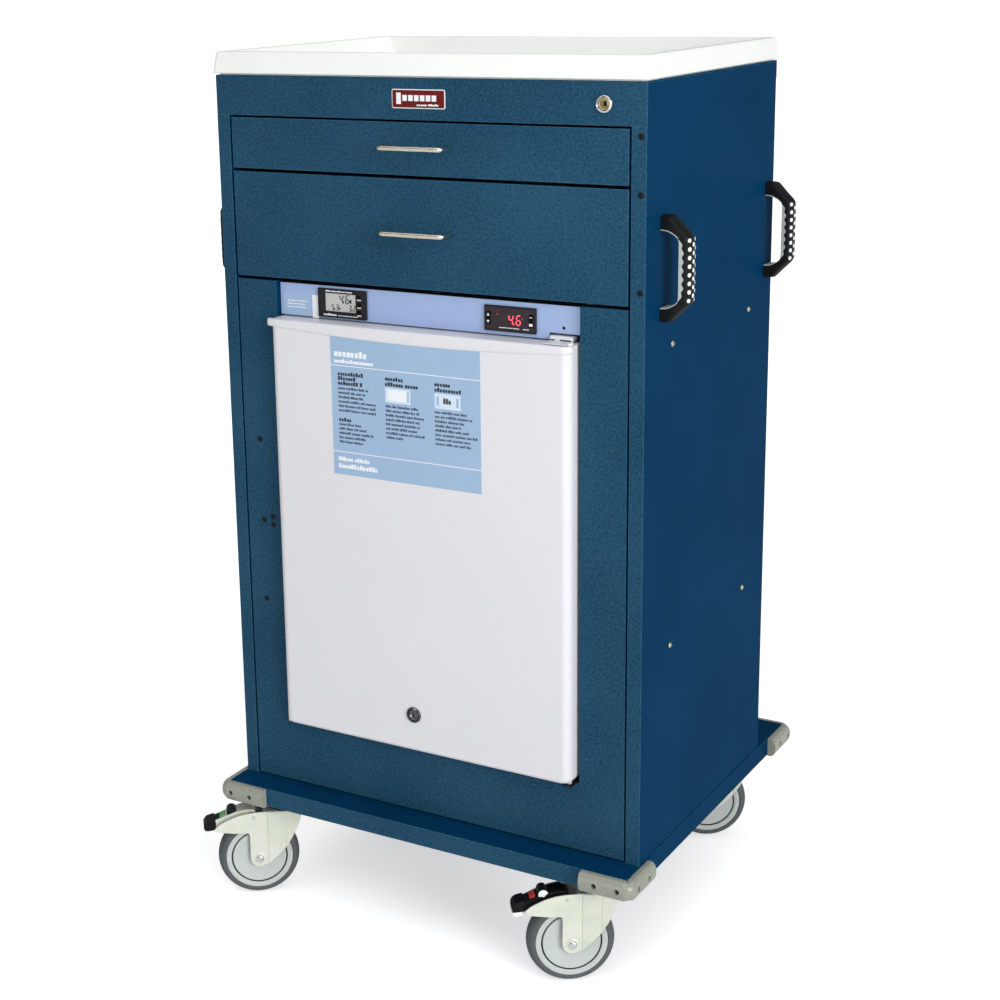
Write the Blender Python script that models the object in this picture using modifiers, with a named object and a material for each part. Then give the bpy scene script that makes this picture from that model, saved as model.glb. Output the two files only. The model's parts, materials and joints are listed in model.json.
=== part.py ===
"""Medication cart with two drawers over a built-in refrigerator, on a bumpered caster platform.

Metres, +Z up. The origin is on the floor, in the middle of the footprint. The front faces -Y.
"""

import math

import bmesh
import bpy
from mathutils import Matrix, Vector

# ---- driving dimensions -------------------------------------------------------------------------

GAP = 0.0003  # between pieces that touch
SHEET = 0.0012  # cabinet sheet metal

# cabinet
HALF_WIDTH = 0.330
FRONT = -0.243
BACK = 0.207
CABINET_FLOOR = 0.186
CABINET_TOP = 1.246
STILE_WIDTH = 0.0205
STILE_DEPTH = 0.060
REAR_FLANGE = 0.028
HEADER_BOTTOM = 1.191

# back panel: ventilation slots in two groups, and the grommet of the mains lead (x, z)
SLOT_CENTRE = 0.120
SLOT_HALF_LENGTH = 0.085
SLOT_ROWS = 8
SLOT_LOWEST = 0.260
SLOT_PITCH = 0.022
SLOT_HEIGHT = 0.007
GROMMET = (-0.255, 0.235)

# worktop tray
TRAY_HEIGHT = 0.032
TRAY_OVERHANG = 0.0045
TRAY_LIP = 0.009
TRAY_FLOOR = 0.006
TRAY_EDGE_RADIUS = 0.004
TRAY_RECESS_RADIUS = 0.006
TRAY_RECESS_TAPER = 0.004  # each side of the recess leans outwards by this much

# platform and bumpers
PLATFORM_HALF_WIDTH = 0.332
PLATFORM_FRONT = -0.287
PLATFORM_BACK = 0.313
PLATFORM_DROP = 0.028
PLATFORM_SHEET = 0.0025
PLATFORM_CORNER = 0.003
CHANNEL_WIDTH = 0.110
CHANNEL_WALL = 0.004
CHANNEL_HOLLOW_HALF = 0.200
BUMPER_LEG = 0.078
BUMPER_DEPTH = 0.0135
BUMPER_ROUND = 0.0085  # how far the half-round stands out from the flat part
BUMPER_HOLE_RADIUS = 0.0032
BUMPER_HOLES = (0.020, 0.052)  # from the corner of the platform, along each leg

# drawers
FRONT_PAN_DEPTH = 0.0185
FRONT_HALF_WIDTH = 0.3065
BOX_HALF_WIDTH = 0.2955
BOX_LENGTH = 0.400
# name: front bottom, front top, box bottom, box top, slide centre
DRAWERS = {
    "upper": (1.1165, 1.1885, 1.1220, 1.1770, 1.1500),
    "lower": (0.9630, 1.1130, 0.9720, 1.0920, 1.0350),
}
PULL_HALF_SPAN = 0.048
PULL_RADIUS = 0.004
PULL_REACH = 0.026
PULL_BEND = 0.010

# drawer slides: each figure is a distance from the drawer's side outwards or a half height
SLIDE_START = FRONT + 0.021
SLIDE_LENGTH = 0.400
CARRIER_X = (0.3078, 0.3092)
CARRIER_Z = (0.995, 1.180)
OUTER_LIP = (0.3000, 0.0213, 0.0225)
MIDDLE_WEB = (0.3048, 0.3060)
MIDDLE_LIP = (0.2990, 0.0193, 0.0205)
INNER_WEB = (0.3026, 0.3038)
INNER_LIP = (0.2950, 0.0172, 0.0184)

# lower front panel and refrigerator
PANEL_BOTTOM = 0.1885
PANEL_TOP = 0.9587
PANEL_RETURN = 0.014
OPENING_X = (-0.2402, 0.2385)
OPENING_BOTTOM = 0.2895
CASE_HALF_WIDTH = 0.2350
CASE_FRONT = FRONT + 0.022
CASE_BACK = BACK - 0.045
CASE_BOTTOM = 0.200
CASE_TOP = 0.9565
CAVITY_HALF_WIDTH = 0.2050
CAVITY_BOTTOM = 0.328
CAVITY_TOP = 0.884
CAVITY_BACK = CASE_BACK - 0.045
MACHINE_ROOM_TOP = 0.297
MACHINE_ROOM_DEPTH = 0.150
MACHINE_ROOM_FLOOR = CASE_BOTTOM + 0.004
CAN_RADIUS = 0.046
CAN_WALL = 0.048
CAN_DOME = 0.030
SHELF_Z = 0.604
FOOT_X = 0.200
FOOT_RADIUS = 0.014
DOOR_X = (-0.2390, 0.2340)
DOOR_BOTTOM = 0.2920
DOOR_TOP = 0.9080
DOOR_FRONT = FRONT - 0.022
DOOR_BACK = FRONT + 0.0165
DOOR_EDGE_RADIUS = 0.007
LINER_HALF_WIDTH = 0.2280
LINER_BACK = FRONT + 0.0198
BIN_HALF_WIDTH = 0.1900
BIN_BACK = FRONT + 0.0640
BIN_WALL = 0.003
BINS = ((0.352, 0.462), (0.640, 0.720))
HINGE_X = 0.229
HINGE_Y = FRONT - 0.010
HINGE_PIN_RADIUS = 0.0030
DOOR_LOCK = (-0.013, 0.349)
DOOR_LOCK_RADIUS = 0.0085

# control strip
STRIP_X = (-0.2388, 0.2371)
STRIP_FRONT = FRONT + 0.008
STRIP_BOTTOM = 0.9100
STRIP_SKIN = 0.003
HINGE_NOTCH = (0.1900, 0.9190)
HINGE_BRACKET_X = (0.1925, 0.2330)
THERMOMETER = (-0.1725, -0.0915, 0.9122, 0.9535)  # left, right, bottom, top
THERMOSTAT = (0.0945, 0.1725, 0.9152, 0.9500)
BEZEL_DEPTH = 0.004
KEYS = {"thermostat_arrow_key": 0.1015, "thermostat_set_key": 0.1655}
KEY_HALF_WIDTH = 0.0026
KEY_HALF_HEIGHT = 0.0068
KEY_PROUD = 0.001
KEY_THICKNESS = 0.0028

# cabinet lock
LOCK_X = 0.272
LOCK_Z = 1.2180
LOCK_FLANGE_RADIUS = 0.0125
LOCK_BARREL_RADIUS = 0.0095
LOCK_PLUG_RADIUS = 0.0066
LOCK_CAM_LENGTH = 0.0235

# side handles
HANDLE_HALF_HEIGHT = 0.0695
HANDLE_Z = 1.0065
HANDLE_HALF_DEPTH = 0.0130
HANDLE_Y = (-0.186, 0.187)
HANDLE_REACH = 0.041

# casters: local X runs from the kingpin towards the wheel, local Y across the wheel
CASTER_X = 0.268
CASTER_INSET = 0.049
CASTER_TRAIL = 0.0415
WHEEL_RADIUS = 0.0625
TYRE_INNER = 0.0525
TYRE_HALF_WIDTH = 0.0155
HUB_GROOVE = 0.0422
AXLE_RADIUS = 0.0040
BOLT_HEAD_RADIUS = 0.0068
FORK_INNER = 0.0195
FORK_SHEET = 0.0025
FORK_LOBE = 0.0140
CROWN_TOP = 0.1395
PLATE_TOP = 0.1582
KINGPIN_RADIUS = 0.0060
PEDAL_PIVOT = (0.048, 0.1315)
PEDAL_HALF_WIDTH = 0.0130
PEDAL_BUTTON = (0.0810, 0.1360)
PEDAL_BUTTON_RADIUS = 0.0080
# name: x, y, direction of the trail in degrees, brake
CASTERS = {
    "front_left": (-CASTER_X, PLATFORM_FRONT + CASTER_INSET, 219.0, True),
    "front_right": (CASTER_X, PLATFORM_FRONT + CASTER_INSET, 215.6, True),
    "rear_left": (-CASTER_X, PLATFORM_BACK - CASTER_INSET, 202.0, False),
    "rear_right": (CASTER_X, PLATFORM_BACK - CASTER_INSET, 208.0, False),
}

# name: colour, roughness, metallic
MATERIALS = {
    "blue_powder_coat": ((0.018, 0.070, 0.130), 0.45, 0.0),
    "grey_bumper": ((0.42, 0.41, 0.36), 0.50, 0.0),
    "white_plastic": ((0.82, 0.84, 0.82), 0.35, 0.0),
    "fridge_white": ((0.78, 0.79, 0.84), 0.30, 0.0),
    "strip_blue": ((0.38, 0.46, 0.68), 0.40, 0.0),
    "black_plastic": ((0.015, 0.015, 0.017), 0.45, 0.0),
    "key_grey": ((0.10, 0.10, 0.11), 0.50, 0.0),
    "nickel": ((0.62, 0.60, 0.56), 0.22, 1.0),
    "zinc": ((0.66, 0.68, 0.62), 0.35, 1.0),
    "wheel_grey": ((0.58, 0.60, 0.58), 0.45, 0.0),
    "tyre_grey": ((0.13, 0.135, 0.14), 0.65, 0.0),
    "galvanised": ((0.50, 0.51, 0.52), 0.40, 1.0),
}

PARTS = bpy.data.collections.new("medication_cart")


# ---- modelling tools ----------------------------------------------------------------------------


def clear_scene():
    for obj in list(bpy.data.objects):
        bpy.data.objects.remove(obj, do_unlink=True)
    bpy.context.scene.collection.children.link(PARTS)


def make_material(name):
    colour, roughness, metallic = MATERIALS[name]
    mat = bpy.data.materials.new(name)
    mat.use_nodes = True
    shader = mat.node_tree.nodes["Principled BSDF"]
    shader.inputs["Base Color"].default_value = (*colour, 1.0)
    shader.inputs["Roughness"].default_value = roughness
    shader.inputs["Metallic"].default_value = metallic
    return mat


def new_object(name, data, location=(0, 0, 0)):
    obj = bpy.data.objects.new(name, data)
    PARTS.objects.link(obj)
    obj.location = location
    return obj


def object_from_bmesh(name, bm, location=(0, 0, 0)):
    mesh = bpy.data.meshes.new(name)
    bm.to_mesh(mesh)
    bm.free()
    return new_object(name, mesh, location)


def bake(obj):
    """Replace an object by the mesh that its modifiers give, with merged points and outward faces."""
    bpy.context.view_layer.update()
    graph = bpy.context.evaluated_depsgraph_get()
    mesh = bpy.data.meshes.new_from_object(obj.evaluated_get(graph))
    bm = bmesh.new()
    bm.from_mesh(mesh)
    bmesh.ops.remove_doubles(bm, verts=bm.verts, dist=1e-6)
    bmesh.ops.recalc_face_normals(bm, faces=bm.faces)
    bm.to_mesh(mesh)
    bm.free()
    name = obj.name
    baked = new_object(name, mesh)
    baked.matrix_world = obj.matrix_world.copy()
    bpy.data.objects.remove(obj, do_unlink=True)
    baked.name = name
    return baked


def boolean(obj, other, operation):
    modifier = obj.modifiers.new(operation.lower(), "BOOLEAN")
    modifier.operation = operation
    modifier.solver = "EXACT"
    modifier.object = other
    baked = bake(obj)
    bpy.data.objects.remove(other, do_unlink=True)
    return baked


def cut(obj, *others):
    for other in others:
        obj = boolean(obj, other, "DIFFERENCE")
    return obj


def join(obj, *others):
    for other in others:
        obj = boolean(obj, other, "UNION")
    return obj


def bevel(obj, width, segments=2, angle=math.radians(40)):
    modifier = obj.modifiers.new("round", "BEVEL")
    modifier.width = width
    modifier.segments = segments
    modifier.limit_method = "ANGLE"
    modifier.angle_limit = angle
    return bake(obj)


def block(name, x, y, z, top_scale=(1.0, 1.0)):
    """A box between the given limits. top_scale narrows its upper face."""
    low = Vector((x[0], y[0], z[0]))
    high = Vector((x[1], y[1], z[1]))
    bm = bmesh.new()
    bmesh.ops.create_cube(bm, size=1.0, matrix=Matrix.Diagonal((*(high - low), 1.0)))
    for vert in bm.verts:
        if vert.co.z > 0:
            vert.co.x *= top_scale[0]
            vert.co.y *= top_scale[1]
    return object_from_bmesh(name, bm, (low + high) / 2)


def rod(name, radius, start, end, sides=24):
    """A round bar from one point to another."""
    start = Vector(start)
    end = Vector(end)
    bm = bmesh.new()
    bmesh.ops.create_cone(
        bm,
        cap_ends=True,
        segments=sides,
        radius1=radius,
        radius2=radius,
        depth=(end - start).length,
    )
    obj = object_from_bmesh(name, bm, (start + end) / 2)
    obj.rotation_mode = "QUATERNION"
    obj.rotation_quaternion = (end - start).to_track_quat("Z", "Y")
    bpy.context.view_layer.update()
    return obj


def turned(name, profile, steps=32):
    """A ring or disc: a closed profile of (radius, height) points turned about local Z."""
    bm = bmesh.new()
    verts = [bm.verts.new((radius, 0.0, height)) for radius, height in profile]
    for first, second in zip(verts, verts[1:] + verts[:1]):
        bm.edges.new((first, second))
    obj = object_from_bmesh(name, bm)
    screw = obj.modifiers.new("turn", "SCREW")
    screw.steps = steps
    screw.render_steps = steps
    screw.use_merge_vertices = True
    screw.merge_threshold = 1e-5
    return bake(obj)


def outline_solid(name, points, thickness, axis):
    """A flat outline extruded to both sides of the plane that lies across the given axis.

    For axis Z the points are (x, y), for Y they are (x, z), and for X they are (y, z).
    """
    curve = bpy.data.curves.new(name, "CURVE")
    curve.dimensions = "2D"
    curve.fill_mode = "BOTH"
    curve.extrude = thickness / 2
    spline = curve.splines.new("POLY")
    spline.points.add(len(points) - 1)
    for point, (first, second) in zip(spline.points, points):
        point.co = (first, second, 0.0, 1.0)
    spline.use_cyclic_u = True
    obj = new_object(name, curve)
    turns = {
        "Z": Matrix.Identity(4),
        "Y": Matrix.Rotation(math.pi / 2, 4, "X"),
        "X": Matrix.Rotation(math.pi / 2, 4, "Z") @ Matrix.Rotation(math.pi / 2, 4, "X"),
    }
    obj.matrix_world = turns[axis]
    return bake(obj)


def folded_sheet(name, points, z, thickness, side):
    """Sheet folded along vertical bends: an open strip through (x, y) points, thickened to one side."""
    bm = bmesh.new()
    lower = [bm.verts.new((x, y, z[0])) for x, y in points]
    upper = [bm.verts.new((x, y, z[1])) for x, y in points]
    for index in range(len(points) - 1):
        bm.faces.new((lower[index], lower[index + 1], upper[index + 1], upper[index]))
    obj = object_from_bmesh(name, bm)
    solidify = obj.modifiers.new("sheet", "SOLIDIFY")
    solidify.thickness = thickness
    solidify.offset = side
    solidify.use_even_offset = True
    return bake(obj)


def arc(centre, radius, start, end, steps):
    """Points on an arc, angles in degrees."""
    angles = [math.radians(start + (end - start) * step / steps) for step in range(steps + 1)]
    return [(centre[0] + radius * math.cos(a), centre[1] + radius * math.sin(a)) for a in angles]


def smooth(obj):
    obj.data.shade_smooth()
    obj.data.set_sharp_from_angle(angle=math.radians(35))


def finish(obj, material, parent=None):
    """Give a finished piece its material and, if it moves, its parent."""
    smooth(obj)
    obj.data.materials.clear()
    obj.data.materials.append(material)
    if parent is not None:
        bpy.context.view_layer.update()
        world = obj.matrix_world.copy()
        obj.parent = parent
        obj.matrix_parent_inverse = parent.matrix_world.inverted()
        obj.matrix_world = world
    return obj


def joint_empty(name, location, parent=None):
    empty = new_object(name, None, location)
    bpy.context.view_layer.update()
    if parent is not None:
        empty.parent = parent
        empty.matrix_parent_inverse = parent.matrix_world.inverted()
        bpy.context.view_layer.update()
    return empty


# ---- platform -----------------------------------------------------------------------------------


def base_frame(material):
    """Top plate with a flange all round, and the two cross channels that carry the casters."""
    bottom = CABINET_FLOOR - PLATFORM_DROP
    outer_x = (-PLATFORM_HALF_WIDTH, PLATFORM_HALF_WIDTH)
    outer_y = (PLATFORM_FRONT, PLATFORM_BACK)
    pan = block("base_frame", outer_x, outer_y, (bottom, CABINET_FLOOR))
    bm = bmesh.new()
    bm.from_mesh(pan.data)
    upright = [edge for edge in bm.edges if abs(edge.verts[0].co.z - edge.verts[1].co.z) > 1e-4]
    bmesh.ops.bevel(bm, geom=upright, offset=PLATFORM_CORNER, segments=3, profile=0.5, affect="EDGES")
    bm.to_mesh(pan.data)
    bm.free()
    inner_x = (outer_x[0] + PLATFORM_SHEET, outer_x[1] - PLATFORM_SHEET)
    inner_y = (outer_y[0] + PLATFORM_SHEET, outer_y[1] - PLATFORM_SHEET)
    inside = block("inside", inner_x, inner_y, (bottom - 0.01, CABINET_FLOOR - PLATFORM_SHEET))
    pan = cut(pan, inside)
    low = PLATE_TOP + GAP
    for y in (PLATFORM_FRONT + CASTER_INSET, PLATFORM_BACK - CASTER_INSET):
        start = max(y - CHANNEL_WIDTH / 2, PLATFORM_FRONT + 0.001)
        end = min(y + CHANNEL_WIDTH / 2, PLATFORM_BACK - 0.001)
        reach = PLATFORM_HALF_WIDTH - PLATFORM_SHEET / 2
        channel = block("channel", (-reach, reach), (start, end), (low, CABINET_FLOOR - 0.001))
        hollow_x = (-CHANNEL_HOLLOW_HALF, CHANNEL_HOLLOW_HALF)
        hollow_y = (start + CHANNEL_WALL, end - CHANNEL_WALL)
        hollow = block("hollow", hollow_x, hollow_y, (low - 0.01, CABINET_FLOOR - CHANNEL_WALL))
        pan = join(pan, cut(channel, hollow))
    finish(pan, material)


def bumper(name, x_side, y_edge, y_side, material):
    """Half-round rubber moulding around one corner of the platform, with two screw holes in each leg."""
    height = PLATFORM_DROP + 0.001
    middle = CABINET_FLOOR - PLATFORM_DROP / 2 - 0.0005
    half = height / 2
    profile = bpy.data.curves.new("bumper_section", "CURVE")
    profile.dimensions = "2D"
    spline = profile.splines.new("POLY")
    flat = BUMPER_DEPTH - BUMPER_ROUND
    section = [(0.0, -half), (flat, -half)]
    section += [
        (flat + BUMPER_ROUND * math.sin(a), -half * math.cos(a))
        for a in (math.radians(180 * step / 8) for step in range(1, 8))
    ]
    section += [(flat, half), (0.0, half)]
    spline.points.add(len(section) - 1)
    for point, (out, up) in zip(spline.points, section):
        point.co = (-out, up, 0.0, 1.0)
    spline.use_cyclic_u = True
    section_object = new_object("bumper_section", profile)

    inner = PLATFORM_CORNER + GAP
    corner = (0.0, 0.0)
    leg = BUMPER_LEG - BUMPER_DEPTH
    route = [(-leg, inner)] + [(-leg / 2, inner)]
    route += [(x, y) for x, y in arc(corner, inner, 90, 0, 6)]
    route += [(inner, -leg / 2), (inner, -leg)]
    path = bpy.data.curves.new(name, "CURVE")
    path.dimensions = "3D"
    path.twist_mode = "Z_UP"
    path.bevel_mode = "OBJECT"
    path.bevel_object = section_object
    path.use_fill_caps = True
    spline = path.splines.new("POLY")
    spline.points.add(len(route) - 1)
    for point, (x, y) in zip(spline.points, route):
        point.co = (x, y, 0.0, 1.0)
    obj = new_object(name, path)
    centre_x = x_side * (PLATFORM_HALF_WIDTH - PLATFORM_CORNER)
    centre_y = y_edge - y_side * PLATFORM_CORNER
    obj.matrix_world = (
        Matrix.Translation((centre_x, centre_y, middle))
        @ Matrix.Diagonal((x_side, y_side, 1.0, 1.0))
    )
    obj = bake(obj)
    bpy.data.objects.remove(section_object, do_unlink=True)
    bm = bmesh.new()
    bm.from_mesh(obj.data)
    bm.transform(obj.matrix_world)
    bmesh.ops.recalc_face_normals(bm, faces=bm.faces)
    bm.to_mesh(obj.data)
    bm.free()
    obj.matrix_world = Matrix.Identity(4)
    for along in BUMPER_HOLES:
        for turn in (0, 1):
            start = Vector((PLATFORM_HALF_WIDTH + 0.0045, abs(y_edge) - along, middle))
            if turn:
                start = Vector((PLATFORM_HALF_WIDTH - along, abs(y_edge) + 0.0045, middle))
            end = start + (Vector((0, 0.02, 0)) if turn else Vector((0.02, 0, 0)))
            flip = Vector((x_side, y_side, 1.0))
            obj = cut(obj, rod("hole", BUMPER_HOLE_RADIUS, start * flip, end * flip, 12))
    finish(obj, material)


# ---- cabinet ------------------------------------------------------------------------------------


def side_panel(name, side, material):
    """Folded side: front return, stile, wall and rear flange in one sheet, notched for the header."""
    inner = HALF_WIDTH - STILE_WIDTH
    bends = [
        (side * inner, FRONT + STILE_DEPTH),
        (side * inner, FRONT),
        (side * HALF_WIDTH, FRONT),
        (side * HALF_WIDTH, BACK),
        (side * (HALF_WIDTH - REAR_FLANGE), BACK),
    ]
    if side < 0:
        bends.reverse()
    z = (CABINET_FLOOR + GAP, CABINET_TOP - SHEET - GAP)
    panel = folded_sheet(name, bends, z, SHEET, -1)
    limits = (-0.4, HALF_WIDTH - SHEET - 1e-4) if side > 0 else (-HALF_WIDTH + SHEET + 1e-4, 0.4)
    front = (FRONT - 0.01, FRONT + SHEET + GAP)
    notch = block("notch", (-0.4, 0.4), front, (HEADER_BOTTOM - GAP, 1.3))
    lip = block("lip", limits, (FRONT - 0.01, FRONT + STILE_DEPTH + 0.01), (HEADER_BOTTOM - GAP, 1.3))
    finish(cut(panel, notch, lip), material)


def top_header(material):
    """Header band, top sheet and rear drop in one sheet, with the lock's hole in the band."""
    x = (-HALF_WIDTH, HALF_WIDTH)
    band = block("top_header", x, (FRONT, FRONT + SHEET), (HEADER_BOTTOM, CABINET_TOP))
    top = block("top", x, (FRONT, BACK + SHEET + GAP), (CABINET_TOP - SHEET, CABINET_TOP))
    drop = block("drop", x, (BACK + GAP, BACK + SHEET + GAP), (CABINET_TOP - 0.025, CABINET_TOP))
    hem = block("hem", (-0.305, 0.305), (FRONT, FRONT + 0.014), (HEADER_BOTTOM, HEADER_BOTTOM + SHEET))
    hole = rod(
        "hole",
        LOCK_BARREL_RADIUS + GAP,
        (LOCK_X, FRONT - 0.01, LOCK_Z),
        (LOCK_X, FRONT + 0.01, LOCK_Z),
    )
    finish(cut(join(band, top, drop, hem), hole), material)


def worktop_tray(material):
    """Moulded tray: a slightly tapered rim around a shallow recess."""
    half_x = HALF_WIDTH + TRAY_OVERHANG
    y = (FRONT - TRAY_OVERHANG, BACK + TRAY_OVERHANG)
    low = CABINET_TOP + GAP
    depth = y[1] - y[0]
    shrink = 2 * TRAY_OVERHANG
    scale = ((2 * half_x - shrink) / (2 * half_x), (depth - shrink) / depth)
    tray = block("worktop_tray", (-half_x, half_x), y, (low, low + TRAY_HEIGHT), scale)
    tray = bevel(tray, TRAY_EDGE_RADIUS)
    rim = TRAY_OVERHANG + TRAY_LIP + TRAY_RECESS_TAPER
    inner_x = half_x - rim
    inner_y = (y[0] + rim, y[1] - rim)
    lean = 2 * TRAY_RECESS_TAPER
    inner_depth = depth - 2 * rim
    widen = ((2 * inner_x + lean) / (2 * inner_x), (inner_depth + lean) / inner_depth)
    floor = low + TRAY_FLOOR
    recess = block("recess", (-inner_x, inner_x), inner_y, (floor, floor + TRAY_HEIGHT), widen)
    finish(cut(tray, bevel(recess, TRAY_RECESS_RADIUS)), material)


def lower_front_panel(material):
    """U-shaped front with a return along each edge, around the refrigerator door."""
    outer = (-FRONT_HALF_WIDTH, FRONT_HALF_WIDTH)
    depth = (FRONT, FRONT + PANEL_RETURN)
    panel = block("lower_front_panel", outer, depth, (PANEL_BOTTOM, PANEL_TOP))
    window = block("window", OPENING_X, (FRONT - 0.01, FRONT + 0.05), (OPENING_BOTTOM, 1.0))
    behind_y = (FRONT + SHEET, FRONT + 0.05)
    behind_x = (outer[0] + SHEET, outer[1] - SHEET)
    behind = block("behind", behind_x, behind_y, (PANEL_BOTTOM + SHEET, PANEL_TOP - SHEET))
    core_x = (OPENING_X[0] - SHEET, OPENING_X[1] + SHEET)
    core = block("core", core_x, (FRONT - 0.02, FRONT + 0.06), (OPENING_BOTTOM - SHEET, 1.01))
    finish(cut(panel, window, cut(behind, core)), material)


def back_panel(material):
    """Flat rear sheet with two groups of ventilation slots and a cable grommet."""
    y = (BACK - 2 * SHEET - GAP, BACK - SHEET - GAP)
    panel = block("back_panel", (-0.320, 0.320), y, (CABINET_FLOOR + 0.003, CABINET_TOP - 0.004))
    for centre in (-SLOT_CENTRE, SLOT_CENTRE):
        for row in range(SLOT_ROWS):
            z = SLOT_LOWEST + row * SLOT_PITCH
            slot_x = (centre - SLOT_HALF_LENGTH, centre + SLOT_HALF_LENGTH)
            panel = cut(panel, block("slot", slot_x, (BACK - 0.02, BACK + 0.02), (z, z + SLOT_HEIGHT)))
    centre = (GROMMET[0], y[0], GROMMET[1])
    ring = turned("ring", ((0.0110, -0.003), (0.0165, -0.003), (0.0165, 0.004), (0.0110, 0.004)), 20)
    ring.matrix_world = Matrix.Translation(centre) @ Matrix.Rotation(-math.pi / 2, 4, "X")
    start = (centre[0], BACK - 0.02, centre[2])
    end = (centre[0], BACK + 0.02, centre[2])
    panel = cut(panel, rod("hole", 0.0140, start, end, 20))
    finish(join(panel, ring), material)


def drawer_bay_floor(material):
    """Shelf between the drawers and the refrigerator, with its side edges turned down."""
    z = (0.9592, 0.9604)
    y = (FRONT + FRONT_PAN_DEPTH + 0.001, BACK - 0.006)
    half = CARRIER_X[1]
    floor = block("drawer_bay_floor", (-half, half), y, z)
    flanges = [
        block("flange", (min(x, x + w), max(x, x + w)), y, (0.944, z[1]))
        for x, w in ((-half, SHEET), (half, -SHEET))
    ]
    finish(join(floor, *flanges), material)


def side_handle(name, side, y, material):
    """Bow handle: two feet, slanted arms and an upright grip."""
    top = HANDLE_HALF_HEIGHT
    half = [
        (GAP, top),
        (0.014, top),
        (HANDLE_REACH - 0.002, 0.0440),
        (HANDLE_REACH, 0.0400),
    ]
    inner = [(0.0265, 0.0380), (0.0240, 0.0430), (0.0120, 0.0490), (GAP, 0.0505)]
    points = half + [(x, -z) for x, z in reversed(half)]
    points += [(x, -z) for x, z in reversed(inner)] + inner
    placed = [(side * (HALF_WIDTH + x), HANDLE_Z + z) for x, z in points]
    handle = outline_solid(name, placed, 2 * HANDLE_HALF_DEPTH, "Y")
    handle.location.y += y
    bpy.context.view_layer.update()
    finish(bevel(handle, 0.0025, 2), material)


def cabinet_lock(barrel_material, plug_material):
    """Fixed barrel in the header, and the plug with its cam that turns in it."""
    barrel = rod(
        "cabinet_lock_barrel",
        LOCK_BARREL_RADIUS,
        (LOCK_X, FRONT - 0.001, LOCK_Z),
        (LOCK_X, FRONT + 0.015, LOCK_Z),
    )
    flange = rod(
        "flange",
        LOCK_FLANGE_RADIUS,
        (LOCK_X, FRONT - 0.0032, LOCK_Z),
        (LOCK_X, FRONT - GAP, LOCK_Z),
        32,
    )
    bore = rod(
        "bore",
        LOCK_PLUG_RADIUS + GAP,
        (LOCK_X, FRONT - 0.01, LOCK_Z),
        (LOCK_X, FRONT + 0.03, LOCK_Z),
    )
    finish(cut(join(barrel, flange), bore), barrel_material)

    axis = joint_empty("cabinet_lock_axis", (LOCK_X, FRONT, LOCK_Z))
    plug = rod(
        "cabinet_lock_plug",
        LOCK_PLUG_RADIUS,
        (LOCK_X, FRONT - 0.0038, LOCK_Z),
        (LOCK_X, FRONT + 0.0180, LOCK_Z),
    )
    cam_x = (LOCK_X - LOCK_CAM_LENGTH, LOCK_X + 0.007)
    cam = block("cam", cam_x, (FRONT + 0.0155, FRONT + 0.0175), (LOCK_Z - 0.006, LOCK_Z + 0.006))
    slot_x = (LOCK_X - 0.0008, LOCK_X + 0.0008)
    slot = block("slot", slot_x, (FRONT - 0.01, FRONT - 0.0015), (LOCK_Z - 0.0042, LOCK_Z + 0.0042))
    finish(cut(join(plug, cam), slot), plug_material, axis)


# ---- drawers ------------------------------------------------------------------------------------


def mirrored(side, limits):
    low, high = sorted((side * limits[0], side * limits[1]))
    return (low, high)


def lips(name, side, x, y, centre, heights):
    """The upper and lower lip of one slide channel."""
    upper = block(name, mirrored(side, x), y, (centre + heights[0], centre + heights[1]))
    lower = block(name, mirrored(side, x), y, (centre - heights[1], centre - heights[0]))
    return upper, lower


def slide_rails(name, side, material):
    """Carrier plate of one cabinet side with the fixed channels of both drawers and a rear mounting tab."""
    y = (SLIDE_START, SLIDE_START + SLIDE_LENGTH)
    rails = block(name, mirrored(side, CARRIER_X), y, CARRIER_Z)
    tab_x = mirrored(side, (CARRIER_X[0], HALF_WIDTH - SHEET - GAP))
    rails = join(rails, block("tab", tab_x, (y[1] - 0.0015, y[1]), CARRIER_Z))
    for _, _, _, _, centre in DRAWERS.values():
        x = (OUTER_LIP[0], CARRIER_X[0] + 0.0005)
        rails = join(rails, *lips("lip", side, x, y, centre, OUTER_LIP[1:]))
    finish(rails, material)


def slide_middle(name, side, centre, material, parent):
    y = (SLIDE_START, SLIDE_START + SLIDE_LENGTH)
    height = MIDDLE_LIP[2]
    web = block(name, mirrored(side, MIDDLE_WEB), y, (centre - height, centre + height))
    x = (MIDDLE_LIP[0], MIDDLE_WEB[1] - 0.0005)
    finish(join(web, *lips("lip", side, x, y, centre, MIDDLE_LIP[1:])), material, parent)


def drawer_front(name, z, material, parent):
    """Folded front pan, open at the back."""
    x = (-FRONT_HALF_WIDTH, FRONT_HALF_WIDTH)
    pan = block(name, x, (FRONT, FRONT + FRONT_PAN_DEPTH), z)
    inner_x = (x[0] + SHEET, x[1] - SHEET)
    hollow = block("hollow", inner_x, (FRONT + SHEET, FRONT + 0.05), (z[0] + SHEET, z[1] - SHEET))
    finish(cut(bevel(pan, 0.0008, 1), hollow), material, parent)


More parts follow.
